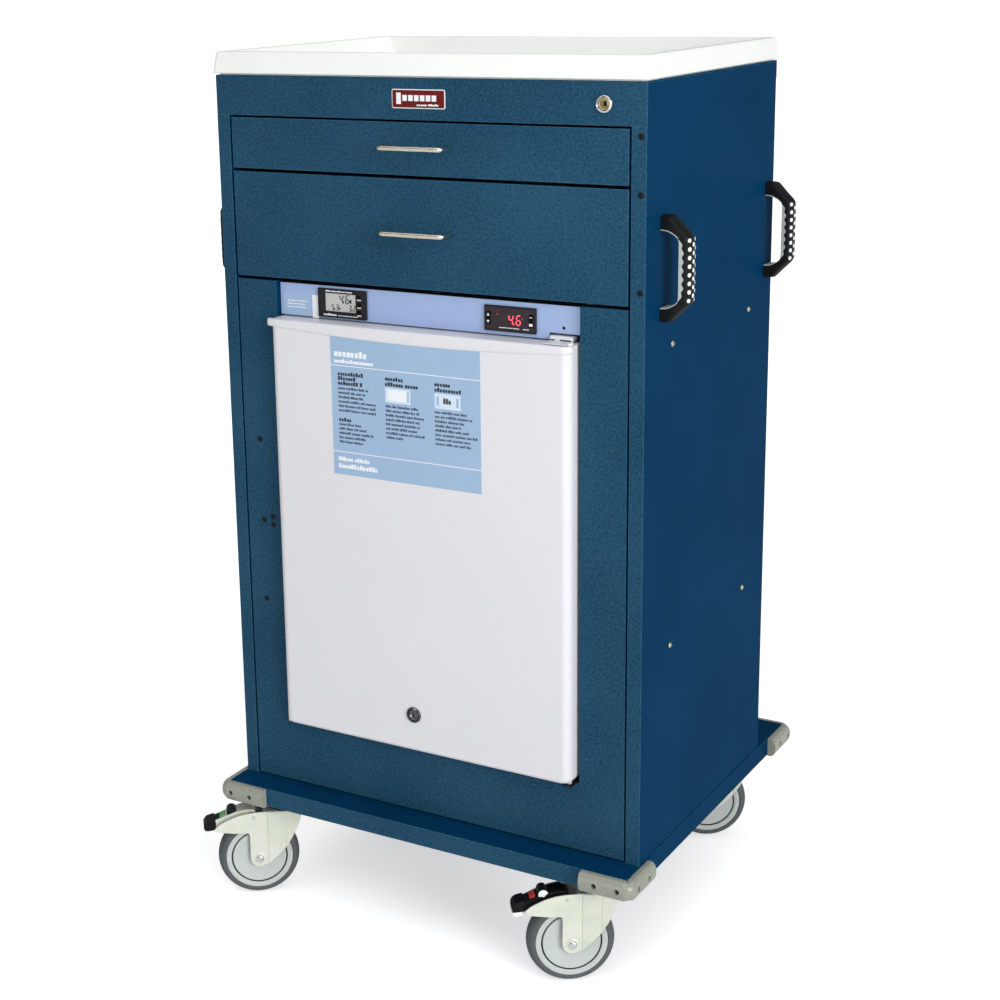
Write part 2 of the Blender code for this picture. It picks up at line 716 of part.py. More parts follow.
def drawer_box(name, z, centre, material, parent):
    """Open-topped box with the inner slide channel on each side."""
    y0 = FRONT + FRONT_PAN_DEPTH + GAP
    y = (y0, y0 + BOX_LENGTH)
    box = block(name, (-BOX_HALF_WIDTH, BOX_HALF_WIDTH), y, z)
    inner_x = (-BOX_HALF_WIDTH + SHEET, BOX_HALF_WIDTH - SHEET)
    inner = block("inner", inner_x, (y[0] + SHEET, y[1] - SHEET), (z[0] + SHEET, z[1] + 0.02))
    box = cut(box, inner)
    height = INNER_LIP[2]
    inner_y = (y[0] + 0.001, y[1] - 0.001)
    for side in (-1, 1):
        web = block("web", mirrored(side, INNER_WEB), inner_y, (centre - height, centre + height))
        x = (INNER_LIP[0], INNER_WEB[1] - 0.0005)
        box = join(box, join(web, *lips("lip", side, x, inner_y, centre, INNER_LIP[1:])))
    finish(box, material, parent)


def drawer_pull(name, z, material, parent):
    """Wire pull: one round bar with two bent legs that meet the drawer front."""
    reach = PULL_REACH
    y = FRONT - reach
    left = [(-PULL_HALF_SPAN, FRONT - GAP)]
    left += [
        (-PULL_HALF_SPAN + PULL_BEND - PULL_BEND * math.cos(a), y + PULL_BEND - PULL_BEND * math.sin(a))
        for a in (math.radians(90 * step / 5) for step in range(6))
    ]
    points = left + [(-x, y) for x, y in reversed(left)]
    curve = bpy.data.curves.new(name, "CURVE")
    curve.dimensions = "3D"
    curve.bevel_depth = PULL_RADIUS
    curve.bevel_resolution = 3
    curve.use_fill_caps = True
    spline = curve.splines.new("POLY")
    spline.points.add(len(points) - 1)
    for point, (x, py) in zip(spline.points, points):
        point.co = (x, py, z, 1.0)
    finish(bake(new_object(name, curve)), material, parent)


def drawers(blue, steel, nickel):
    for side_name, side in (("left", -1), ("right", 1)):
        slide_rails(f"{side_name}_slide_rails", side, steel)
    for name, (low, high, box_low, box_high, centre) in DRAWERS.items():
        middle = (low + high) / 2
        runner = joint_empty(f"{name}_drawer_axis", (0, FRONT, centre))
        drawer_front(f"{name}_drawer_front", (low, high), blue, runner)
        drawer_box(f"{name}_drawer_box", (box_low, box_high), centre, steel, runner)
        drawer_pull(f"{name}_drawer_pull", middle + 0.003, nickel, runner)
        for side_name, side in (("left", -1), ("right", 1)):
            axis = joint_empty(f"{name}_{side_name}_slide_axis", (side * MIDDLE_WEB[0], SLIDE_START, centre))
            slide_middle(f"{name}_slide_middle_{side_name}", side, centre, steel, axis)


# ---- refrigerator -------------------------------------------------------------------------------


def fridge_case(material):
    """Insulated case: cavity open to the front, machine room open to the back, shelf ledges, feet."""
    x = (-CASE_HALF_WIDTH, CASE_HALF_WIDTH)
    case = block("fridge_case", x, (CASE_FRONT, CASE_BACK), (CASE_BOTTOM, CASE_TOP))
    cavity_x = (-CAVITY_HALF_WIDTH, CAVITY_HALF_WIDTH)
    cavity = block("cavity", cavity_x, (CASE_FRONT - 0.02, CAVITY_BACK), (CAVITY_BOTTOM, CAVITY_TOP))
    case = cut(case, bevel(cavity, 0.008))
    room_x = (-CAVITY_HALF_WIDTH, CAVITY_HALF_WIDTH)
    room_y = (CASE_BACK - MACHINE_ROOM_DEPTH, CASE_BACK + 0.02)
    case = cut(case, block("room", room_x, room_y, (MACHINE_ROOM_FLOOR, MACHINE_ROOM_TOP)))
    for side in (-1, 1):
        ledge_x = mirrored(side, (CAVITY_HALF_WIDTH - 0.010, CAVITY_HALF_WIDTH + 0.005))
        ledge_y = (FRONT + 0.085, CAVITY_BACK + 0.003)
        case = join(case, block("ledge", ledge_x, ledge_y, (SHELF_Z - 0.006, SHELF_Z)))
        for y in (CASE_FRONT + 0.04, CASE_BACK - 0.04):
            low = (side * FOOT_X, y, CABINET_FLOOR + GAP)
            case = join(case, rod("foot", FOOT_RADIUS, low, (side * FOOT_X, y, CASE_BOTTOM + 0.003)))
    bottom_hinge = block(
        "bottom_hinge",
        (HINGE_X - 0.018, HINGE_X + 0.006),
        (HINGE_Y - 0.007, CASE_FRONT + 0.003),
        (DOOR_BOTTOM - 0.0022, DOOR_BOTTOM - GAP),
    )
    pin = hinge_pin(DOOR_BOTTOM - 0.001, DOOR_BOTTOM + 0.009)
    finish(join(case, bottom_hinge, pin), material)


def hinge_pin(low, high, radius=HINGE_PIN_RADIUS):
    return rod("pin", radius, (HINGE_X, HINGE_Y, low), (HINGE_X, HINGE_Y, high), 20)


def fridge_compressor(material):
    """Domed compressor can on a foot plate in the machine room."""
    y = CASE_BACK - 0.072
    floor = MACHINE_ROOM_FLOOR + GAP
    plate = block("fridge_compressor", (-0.085, 0.085), (y - 0.050, y + 0.050), (floor, floor + 0.003))
    wall = ((0.0, 0.0), (CAN_RADIUS, 0.0), (CAN_RADIUS, CAN_WALL))
    angles = [math.pi * step / 12 for step in range(1, 6)]
    dome = [(CAN_RADIUS * math.cos(a), CAN_WALL + CAN_DOME * math.sin(a)) for a in angles]
    can = turned("can", (*wall, *dome, (0.0, CAN_WALL + CAN_DOME)), 24)
    can.location = (0.0, y, floor + 0.002)
    bpy.context.view_layer.update()
    finish(join(plate, can), material)


def fridge_shelf(material):
    x = CAVITY_HALF_WIDTH - 0.001
    y = (FRONT + 0.086, CAVITY_BACK - 0.009)
    shelf = block("fridge_shelf", (-x, x), y, (SHELF_Z + GAP, SHELF_Z + GAP + 0.0045))
    rim = block("rim", (-x, x), (y[0] - 0.002, y[0] + 0.008), (SHELF_Z + GAP, SHELF_Z + 0.011))
    finish(join(shelf, rim), material)


def fridge_control_panel(material):
    """Control strip: a housing open at the back, with windows for both instruments and a hinge notch."""
    y = (STRIP_FRONT, CASE_FRONT - GAP)
    strip = block("fridge_control_panel", STRIP_X, y, (STRIP_BOTTOM, CASE_TOP))
    inner_x = (STRIP_X[0] + STRIP_SKIN, STRIP_X[1] - STRIP_SKIN)
    inner_z = (STRIP_BOTTOM + STRIP_SKIN, CASE_TOP - STRIP_SKIN)
    strip = cut(strip, block("inner", inner_x, (STRIP_FRONT + STRIP_SKIN, 0.0), inner_z))
    for left, right, low, high in (THERMOMETER, THERMOSTAT):
        window_x = (left + 0.0035, right - 0.0035)
        window_z = (low + 0.0035, high - 0.0035)
        strip = cut(strip, block("window", window_x, (STRIP_FRONT - 0.01, STRIP_FRONT + 0.01), window_z))
    notch_x = (HINGE_NOTCH[0], STRIP_X[1] + 0.01)
    notch = block("notch", notch_x, (STRIP_FRONT - 0.01, CASE_FRONT + 0.01), (0.90, HINGE_NOTCH[1]))
    finish(cut(strip, notch), material)


def instrument(name, limits, material):
    """Bezel in front of the strip and a body through its window."""
    left, right, low, high = limits
    bezel_y = (STRIP_FRONT - BEZEL_DEPTH, STRIP_FRONT - GAP)
    bezel = bevel(block(name, (left, right), bezel_y, (low, high)), 0.0012)
    body_x = (left + 0.0040, right - 0.0040)
    body_z = (low + 0.0040, high - 0.0040)
    body = block("body", body_x, (STRIP_FRONT - 0.002, CASE_FRONT - 0.002), body_z)
    obj = join(bezel, body)
    if name == "thermostat":
        face = STRIP_FRONT - BEZEL_DEPTH
        middle = (low + high) / 2
        for x in KEYS.values():
            pocket_x = (x - KEY_HALF_WIDTH - GAP, x + KEY_HALF_WIDTH + GAP)
            pocket_z = (middle - KEY_HALF_HEIGHT - GAP, middle + KEY_HALF_HEIGHT + GAP)
            pocket_y = (face - 0.01, face - KEY_PROUD + KEY_THICKNESS + 0.001)
            obj = cut(obj, block("pocket", pocket_x, pocket_y, pocket_z))
    finish(obj, material)


def thermostat_keys(material):
    """Two rocker keys, each pressed at its upper or its lower end."""
    face = STRIP_FRONT - BEZEL_DEPTH
    middle = (THERMOSTAT[2] + THERMOSTAT[3]) / 2
    for name, x in KEYS.items():
        y = (face - KEY_PROUD, face - KEY_PROUD + KEY_THICKNESS)
        axis = joint_empty(f"{name}_axis", (x, (y[0] + y[1]) / 2, middle))
        key_x = (x - KEY_HALF_WIDTH, x + KEY_HALF_WIDTH)
        key_z = (middle - KEY_HALF_HEIGHT, middle + KEY_HALF_HEIGHT)
        finish(bevel(block(name, key_x, y, key_z), 0.0006, 1), material, axis)


def fridge_top_hinge(material):
    """Bracket on the case with a pin down into the door."""
    z = (DOOR_TOP + GAP, DOOR_TOP + 0.0030)
    bracket = block("fridge_top_hinge", HINGE_BRACKET_X, (HINGE_Y - 0.008, CASE_FRONT - GAP), z)
    foot_y = (CASE_FRONT - 0.0030, CASE_FRONT - GAP)
    foot = block("foot", HINGE_BRACKET_X, foot_y, (z[0], z[0] + 0.0085))
    cap = rod("cap", 0.0062, (HINGE_X, HINGE_Y, z[0] + 0.001), (HINGE_X, HINGE_Y, z[1] + 0.003), 20)
    pin = hinge_pin(DOOR_TOP - 0.010, z[1])
    finish(join(bracket, foot, cap, pin), material)


def fridge_door(white, nickel):
    """Door shell with a moulded grip lip, its liner with two bins, and its key lock."""
    axis = joint_empty("fridge_door_axis", (HINGE_X, HINGE_Y, DOOR_BOTTOM))
    shell = block("fridge_door", DOOR_X, (DOOR_FRONT, DOOR_BACK), (DOOR_BOTTOM, DOOR_TOP))
    bm = bmesh.new()
    bm.from_mesh(shell.data)
    front_y = min(vert.co.y for vert in bm.verts)
    front = [edge for edge in bm.edges if all(vert.co.y < front_y + 1e-5 for vert in edge.verts)]
    bmesh.ops.bevel(bm, geom=front, offset=DOOR_EDGE_RADIUS, segments=4, profile=0.5, affect="EDGES")
    bm.to_mesh(shell.data)
    bm.free()
    for low, high in ((DOOR_TOP - 0.0125, DOOR_TOP + 0.01), (DOOR_BOTTOM - 0.01, DOOR_BOTTOM + 0.0115)):
        shell = cut(shell, hinge_pin(low, high, HINGE_PIN_RADIUS + GAP))
    lock_x, lock_z = DOOR_LOCK
    bore_start = (lock_x, DOOR_FRONT - 0.01, lock_z)
    bore = rod("bore", DOOR_LOCK_RADIUS + GAP, bore_start, (lock_x, DOOR_FRONT + 0.0205, lock_z))
    shell = cut(shell, bore)
    finish(shell, white, axis)

    liner_y = (DOOR_BACK + GAP, LINER_BACK)
    liner_z = (DOOR_BOTTOM + 0.011, DOOR_TOP - 0.011)
    liner = block("fridge_door_liner", (-LINER_HALF_WIDTH, LINER_HALF_WIDTH), liner_y, liner_z)
    for low, high in BINS:
        bin_x = (-BIN_HALF_WIDTH, BIN_HALF_WIDTH)
        shelf = block("bin", bin_x, (LINER_BACK - 0.001, BIN_BACK), (low, high))
        inside_x = (-BIN_HALF_WIDTH + BIN_WALL, BIN_HALF_WIDTH - BIN_WALL)
        inside_y = (LINER_BACK + 0.001, BIN_BACK - BIN_WALL)
        shelf = cut(shelf, block("inside", inside_x, inside_y, (low + BIN_WALL, high + 0.02)))
        liner = join(liner, shelf)
    finish(liner, white, axis)

    lock_axis = joint_empty("fridge_lock_axis", (lock_x, DOOR_FRONT, lock_z), axis)
    lock_end = (lock_x, DOOR_FRONT + 0.0200, lock_z)
    lock = rod("fridge_lock", DOOR_LOCK_RADIUS, (lock_x, DOOR_FRONT - 0.0020, lock_z), lock_end)
    slot_z = (lock_z - 0.0040, lock_z + 0.0040)
    slot = block("slot", (lock_x - 0.0007, lock_x + 0.0007), (DOOR_FRONT - 0.01, DOOR_FRONT), slot_z)
    finish(cut(lock, slot), nickel, lock_axis)


# ---- casters ------------------------------------------------------------------------------------


def caster_plate_mesh():
    """Top plate, raceway and kingpin, fixed to the platform."""
    plate = block("plate", (-0.0475, 0.0475), (-0.0400, 0.0400), (PLATE_TOP - 0.004, PLATE_TOP))
    race = rod("race", 0.0260, (0, 0, CROWN_TOP + 0.0060), (0, 0, PLATE_TOP - 0.002), 20)
    ring = rod("ring", 0.0200, (0, 0, CROWN_TOP + 0.0010), (0, 0, CROWN_TOP + 0.0070), 16)
    pin = rod("pin", KINGPIN_RADIUS, (0, 0, CROWN_TOP - 0.0085), (0, 0, CROWN_TOP + 0.003), 14)
    head = rod("head", 0.0095, (0, 0, CROWN_TOP - 0.0095), (0, 0, CROWN_TOP - 0.0040), 14)
    return join(plate, race, ring, pin, head)


def fork_side(name, offset, braked):
    """One cheek of the fork. A braked fork's cheek reaches forwards to guard the pedal."""
    axle = (CASTER_TRAIL, WHEEL_RADIUS)
    points = [(-0.0245, 0.1290), (-0.0110, 0.0945), (0.0040, 0.0725)]
    points += arc(axle, FORK_LOBE, 225, 360, 6)
    points += [(axle[0] + FORK_LOBE, 0.1015)]
    if braked:
        points += [(0.0590, 0.1055), (0.0950, 0.1085), (0.1070, 0.1115), (0.1085, 0.1165)]
        points += [(0.0950, 0.1265), (0.0790, 0.1332)]
    points += [(0.0540, 0.1382), (0.0255, 0.1395), (0.0020, 0.1392)]
    cheek = outline_solid(name, points, FORK_SHEET, "Y")
    cheek.location.y += offset
    bpy.context.view_layer.update()
    return cheek


def fork_mesh(braked):
    """Crown with the kingpin's hole, two cheeks, and the axle bolt across them."""
    outer = FORK_INNER + FORK_SHEET
    crown_z = (CROWN_TOP - 0.0035, CROWN_TOP - 0.0002)
    crown = block("crown", (-0.0225, 0.0330), (-outer + 0.0004, outer - 0.0004), crown_z)
    dish = rod("dish", 0.0250, (0, 0, CROWN_TOP - 0.0033), (0, 0, CROWN_TOP), 32)
    fork = join(crown, dish)
    for side in (-1, 1):
        fork = join(fork, fork_side("cheek", side * (FORK_INNER + FORK_SHEET / 2), braked))
    reach = outer + 0.001
    ends = ((CASTER_TRAIL, -reach, WHEEL_RADIUS), (CASTER_TRAIL, reach, WHEEL_RADIUS))
    fork = join(fork, rod("axle", AXLE_RADIUS, *ends, 20))
    for side in (-1, 1):
        near = (CASTER_TRAIL, side * (outer - 0.0005), WHEEL_RADIUS)
        far = (CASTER_TRAIL, side * (outer + 0.0038), WHEEL_RADIUS)
        fork = join(fork, rod("head", BOLT_HEAD_RADIUS, near, far, 6))
        if braked:
            near = (PEDAL_PIVOT[0], side * (FORK_INNER - 0.0030), PEDAL_PIVOT[1])
            far = (PEDAL_PIVOT[0], side * (outer + 0.0012), PEDAL_PIVOT[1])
            fork = join(fork, rod("pivot", 0.0030, near, far, 16))
    return cut(fork, rod("hole", KINGPIN_RADIUS + GAP, (0, 0, 0.12), (0, 0, 0.15), 20))


def across(obj):
    """Turn a piece made about Z so that its axis lies along local Y through the axle."""
    obj.matrix_world = (
        Matrix.Translation((CASTER_TRAIL, 0, WHEEL_RADIUS)) @ Matrix.Rotation(math.pi / 2, 4, "X")
    )
    return obj


def hub_mesh():
    """Wheel centre with a bored boss, a groove in each face and a raised rim ring."""
    bore = AXLE_RADIUS + GAP
    half = [
        (TYRE_INNER - GAP, 0.0),
        (TYRE_INNER - GAP, 0.0148),
        (HUB_GROOVE + 0.0010, 0.0150),
        (HUB_GROOVE + 0.0006, 0.0130),
        (HUB_GROOVE - 0.0006, 0.0130),
        (HUB_GROOVE - 0.0010, 0.0145),
        (0.0150, 0.0136),
        (0.0120, 0.0175),
        (bore, 0.0175),
    ]
    profile = half + [(radius, -height) for radius, height in reversed(half[1:])]
    return across(turned("hub", profile, 24))


def tyre_mesh():
    depth = WHEEL_RADIUS - TYRE_INNER
    shoulder = [
        (TYRE_INNER + depth * math.cos(a) ** 0.6, TYRE_HALF_WIDTH * math.sin(a) ** 0.75)
        for a in (math.radians(90 * step / 4) for step in range(4))
    ]
    profile = [(radius, height) for radius, height in shoulder] + [(TYRE_INNER, TYRE_HALF_WIDTH)]
    profile += [(radius, -height) for radius, height in reversed(profile[1:])]
    return across(turned("tyre", profile, 30))


def pedal_mesh():
    """Brake lever between the cheeks, with a grip end and a round release button on top."""
    points = [
        (0.0415, 0.1290),
        (0.0540, 0.1255),
        (0.0680, 0.1262),
        (0.0880, 0.1190),
        (0.1030, 0.1110),
        (0.1240, 0.1090),
        (0.1250, 0.1250),
        (0.1090, 0.1285),
        (0.0880, 0.1355),
        (0.0600, 0.1420),
        (0.0460, 0.1385),
    ]
    lever = outline_solid("lever", points, 2 * PEDAL_HALF_WIDTH, "Y")
    lever = bevel(lever, 0.0015, 1)
    button_x, button_z = PEDAL_BUTTON
    ends = ((button_x, -0.0060, button_z), (button_x, 0.0060, button_z))
    button = rod("button", PEDAL_BUTTON_RADIUS, *ends, 20)
    pivot_x, pivot_z = PEDAL_PIVOT
    reach = PEDAL_HALF_WIDTH + 0.0025
    sleeve = rod("sleeve", 0.0055, (pivot_x, -reach, pivot_z), (pivot_x, reach, pivot_z), 16)
    return join(lever, button, sleeve)


def place(name, source, place_matrix, material, parent=None):
    """One copy of a baked piece, moved from the caster's own frame to its place."""
    obj = new_object(name, source.data.copy())
    obj.matrix_world = place_matrix @ source.matrix_world
    bpy.context.view_layer.update()
    return finish(obj, material, parent)


def casters(materials):
    sources = {
        "plate": caster_plate_mesh(),
        "fork": fork_mesh(False),
        "brake_fork": fork_mesh(True),
        "hub": hub_mesh(),
        "tyre": tyre_mesh(),
        "pedal": pedal_mesh(),
    }
    for name, (x, y, degrees, braked) in CASTERS.items():
        frame = Matrix.Translation((x, y, 0)) @ Matrix.Rotation(math.radians(degrees), 4, "Z")
        swivel = joint_empty(f"{name}_swivel_axis", (x, y, PLATE_TOP))
        axle = joint_empty(f"{name}_axle", frame @ Vector((CASTER_TRAIL, 0, WHEEL_RADIUS)), swivel)
        place(f"caster_plate_{name}", sources["plate"], Matrix.Translation((x, y, 0)), materials["zinc"])
        fork = sources["brake_fork" if braked else "fork"]
        place(f"caster_fork_{name}", fork, frame, materials["zinc"], swivel)
        place(f"hub_{name}", sources["hub"], frame, materials["wheel_grey"], axle)
        place(f"tyre_{name}", sources["tyre"], frame, materials["tyre_grey"], axle)
        if braked:
            pivot = frame @ Vector((PEDAL_PIVOT[0], 0, PEDAL_PIVOT[1]))
            tilt = joint_empty(f"{name}_pedal_axis", pivot, swivel)
            place(f"brake_pedal_{name}", sources["pedal"], frame, materials["black_plastic"], tilt)
    for source in sources.values():
        bpy.data.objects.remove(source, do_unlink=True)


# ---- the whole cart -----------------------------------------------------------------------------


def build():
    clear_scene()
    materials = {name: make_material(name) for name in MATERIALS}
    blue = materials["blue_powder_coat"]
    base_frame(blue)
    for x_name, x_side in (("left", -1), ("right", 1)):
        for y_name, y_edge, y_side in (("front", PLATFORM_FRONT, -1), ("rear", PLATFORM_BACK, 1)):
            bumper(f"bumper_{y_name}_{x_name}", x_side, y_edge, y_side, materials["grey_bumper"])
        side_panel(f"{x_name}_side_panel", x_side, blue)
        for y_name, y in zip(("front", "rear"), HANDLE_Y):
            side_handle(f"handle_{x_name}_{y_name}", x_side, y, materials["black_plastic"])
    top_header(blue)
    worktop_tray(materials["white_plastic"])
    lower_front_panel(blue)
    back_panel(blue)
    drawer_bay_floor(blue)
    cabinet_lock(materials["nickel"], materials["nickel"])
    drawers(blue, materials["galvanised"], materials["nickel"])
    fridge_case(materials["fridge_white"])
    fridge_compressor(materials["black_plastic"])
    fridge_shelf(materials["white_plastic"])
    fridge_control_panel(materials["strip_blue"])
    instrument("alarm_thermometer", THERMOMETER, materials["black_plastic"])
    instrument("thermostat", THERMOSTAT, materials["black_plastic"])
    thermostat_keys(materials["key_grey"])
    fridge_top_hinge(materials["white_plastic"])
    fridge_door(materials["fridge_white"], materials["nickel"])
    casters(materials)


build()
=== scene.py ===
"""Looks of the medication cart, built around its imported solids. +Z is up and the front faces -Y.

Shapes are made in millimetres and scaled to metres as each piece is finished. Materials, lights and the
camera are in metres.
"""

import json
import random
from math import atan2, cos, pi, radians, sin

import bmesh
import bpy
from mathutils import Matrix, Vector


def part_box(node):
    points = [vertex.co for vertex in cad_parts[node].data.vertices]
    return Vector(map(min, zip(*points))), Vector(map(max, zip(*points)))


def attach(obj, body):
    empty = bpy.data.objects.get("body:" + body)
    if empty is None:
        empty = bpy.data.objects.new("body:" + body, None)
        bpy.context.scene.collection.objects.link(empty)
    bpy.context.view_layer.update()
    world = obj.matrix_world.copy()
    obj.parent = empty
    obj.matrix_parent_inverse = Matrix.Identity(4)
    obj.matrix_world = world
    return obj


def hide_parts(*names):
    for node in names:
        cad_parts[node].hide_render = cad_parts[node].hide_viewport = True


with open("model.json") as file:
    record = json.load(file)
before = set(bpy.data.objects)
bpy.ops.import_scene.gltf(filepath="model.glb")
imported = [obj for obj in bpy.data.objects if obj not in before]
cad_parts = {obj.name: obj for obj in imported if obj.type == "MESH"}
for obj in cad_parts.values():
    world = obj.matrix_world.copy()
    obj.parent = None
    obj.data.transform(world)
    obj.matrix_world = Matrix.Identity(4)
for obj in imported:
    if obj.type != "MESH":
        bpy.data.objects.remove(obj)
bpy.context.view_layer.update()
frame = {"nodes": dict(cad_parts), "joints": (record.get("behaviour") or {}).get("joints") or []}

JOINTS = {joint["name"]: joint for joint in frame["joints"]}



def box(node):
    """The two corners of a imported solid, in millimetres."""
    low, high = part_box(node)
    return Vector(low) * 1000, Vector(high) * 1000


def joint_at(name):
    """Where a joint's axis starts, in millimetres."""
    return Vector(JOINTS[name]["pos_m"]) * 1000


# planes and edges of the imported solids
FRONT = box("lower_front_panel")[0].y
PANEL_BACK = box("right_side_panel")[1].y
SIDE_X = box("right_side_panel")[1].x
DOOR_LOW, DOOR_HIGH = box("fridge_door")
STRIP_LOW, STRIP_HIGH = box("fridge_control_panel")
PLATE_LOW, PLATE_HIGH = box("base_frame")
CASE_FACE = FRONT + 22  # front face of the refrigerator's case, behind its lower hinge bracket
CASTERS = ("front_left", "front_right", "rear_left", "rear_right")
DRAWERS = ("upper", "lower")
SIDES = {"left": -1, "right": 1}
FORWARD = (0, -1, 0)
TO_METRES = Matrix.Scale(0.001, 4)
TO_MILLIMETRES = Matrix.Scale(1000, 4)
CLEAR = 0.3  # gap between a detail and the face it stands on
BUMPER_HOLES = (6.5, 41)  # from the inner corner along each leg


# ---- materials ----


SHEEN, METALLIC, SHADER = "Specular IOR Level", "Metallic", "Principled BSDF"
WHITE = (1.0, 1.0, 1.0, 1.0)


def feed(tree, node, inputs):
    """Give the node's inputs, by name or number, their values or the sockets that they are linked to."""
    for socket, value in inputs.items():
        if isinstance(value, bpy.types.NodeSocket):
            tree.links.new(value, node.inputs[socket])
        else:
            node.inputs[socket].default_value = value
    return node


def add_node(tree, kind, inputs, **settings):
    node = tree.nodes.new(f"ShaderNode{kind}")
    for setting, value in settings.items():
        setattr(node, setting, value)
    return feed(tree, node, inputs)


def noise(tree, scale, detail=3.0, stretch=(1.0, 1.0, 1.0)):
    """Noise in the object's own coordinates. stretch above 1 packs the grain along that axis."""
    place = add_node(tree, "TexCoord", {})
    mapping = add_node(tree, "Mapping", {"Scale": stretch, "Vector": place.outputs["Object"]})
    inputs = {"Scale": scale, "Detail": detail, "Vector": mapping.outputs["Vector"]}
    return add_node(tree, "TexNoise", inputs).outputs["Fac"]


def ramp(tree, value, stops):
    """Colours along a pattern: stops are (position, colour)."""
    node = add_node(tree, "ValToRGB", {"Fac": value})
    elements = node.color_ramp.elements
    while len(elements) < len(stops):
        elements.new(0.5)
    for element, (position, colour) in zip(elements, stops):
        element.position = position
        element.color = (*colour, 1.0)
    return node.outputs["Color"]


def between(tree, value, low, high, source=(0.3, 0.7)):
    """The value's source range stretched to run from low to high."""
    inputs = {"Value": value, "From Min": source[0], "From Max": source[1], "To Min": low, "To Max": high}
    return add_node(tree, "MapRange", inputs).outputs["Result"]


def blend_colours(tree, factor, first, second):
    node = add_node(tree, "Mix", {0: factor}, data_type="RGBA")
    colour_in = [k for k, socket in enumerate(node.inputs) if socket.type == "RGBA"]
    feed(tree, node, dict(zip(colour_in, (first, second))))
    return next(socket for socket in node.outputs if socket.type == "RGBA")


def halfway(dark, light):
    return tuple((a + b) / 2 for a, b in zip(dark, light))


def finish_material(mat, colour, rough, relief, fixed):
    """Link the shader's colour, roughness and relief. relief is (pattern, strength, depth)."""
    tree = mat.node_tree
    pattern, strength, depth = relief
    bump = add_node(tree, "Bump", {"Height": pattern, "Strength": strength, "Distance": depth})
    inputs = {"Base Color": colour, "Roughness": rough, "Normal": bump.outputs["Normal"], **fixed}
    feed(tree, tree.nodes[SHADER], inputs)
    return mat


def start_material(name):
    mat = bpy.data.materials.new(name)
    mat.use_nodes = True
    return mat, mat.node_tree


def surface(name, dark, light, rough, grain, strength, fixed=None, stretch=(1.0, 1.0, 1.0)):
    """A material with a fine grain for colour, roughness and relief, and a broad, faint cloudiness.

    fixed holds values for the shader's own sockets, by their names.
    """
    mat, tree = start_material(name)
    fine = noise(tree, grain, stretch=stretch)
    broad = noise(tree, 9.0, 2.0)
    fine_colour = ramp(tree, fine, ((0.35, dark), (0.65, light)))
    broad_colour = ramp(tree, broad, ((0.3, dark), (0.5, halfway(dark, light)), (0.7, light)))
    colour = blend_colours(tree, 0.4, fine_colour, broad_colour)
    return finish_material(mat, colour, between(tree, fine, *rough), (fine, strength, 0.0002), fixed or {})


def powder_coat(name, dark, light, edge, gloss):
    """Textured powder coat with a painted highlight: a lighter colour along its edges, broken up by noise."""
    mat, tree = start_material(name)
    fine = noise(tree, 300.0, 4.0)
    broad = noise(tree, 5.0, 2.0)
    speckle = ramp(tree, fine, ((0.36, dark), (0.5, halfway(dark, light)), (0.66, light)))
    cloudy = ramp(tree, broad, ((0.3, dark), (0.7, light)))
    colour = blend_colours(tree, 0.35, speckle, cloudy)
    # painted highlight: the edge colour is blended in where the bevelled normal turns from the flat one
    soft = add_node(tree, "Bevel", {"Radius": 0.0011}, samples=4).outputs["Normal"]
    flat = add_node(tree, "NewGeometry", {}).outputs["Normal"]
    alike = add_node(tree, "VectorMath", {0: soft, 1: flat}, operation="DOT_PRODUCT").outputs["Value"]
    at_edge = between(tree, alike, 1.0, 0.0, (0.8, 0.985))
    highlight_breakup = between(tree, noise(tree, 190.0, 2.0), 0.15, 1.0)
    mask = add_node(tree, "Math", {0: at_edge, 1: highlight_breakup}, operation="MULTIPLY").outputs["Value"]
    colour = blend_colours(tree, mask, colour, (*edge, 1.0))
    return finish_material(mat, colour, between(tree, fine, 0.42, 0.6), (fine, 0.35, 0.00035), {SHEEN: gloss})


def chromate(name):
    """Zinc plating with a pale green passivation that clouds into yellow and rose."""
    mat, tree = start_material(name)
    fine = noise(tree, 700.0, 2.0)
    green, yellow, pale, rose = (0.6, 0.68, 0.6), (0.7, 0.74, 0.62), (0.74, 0.76, 0.68), (0.66, 0.72, 0.66)
    stops = ((0.3, green), (0.45, yellow), (0.58, pale), (0.72, rose))
    colour = ramp(tree, noise(tree, 28.0), stops)
    rough = between(tree, fine, 0.28, 0.42)
    return finish_material(mat, colour, rough, (fine, 0.12, 0.0001), {METALLIC: 0.35})


def lit(name, colour, strength):
    """A lit segment of a display, with the faint unevenness of its light guide."""
    mat, tree = start_material(name)
    glow = ramp(tree, noise(tree, 600.0), ((0.3, tuple(0.8 * c for c in colour)), (0.7, colour)))
    inputs = {"Base Color": glow, "Emission Color": glow, "Emission Strength": strength, "Roughness": 0.4}
    feed(tree, tree.nodes[SHADER], inputs)
    return mat


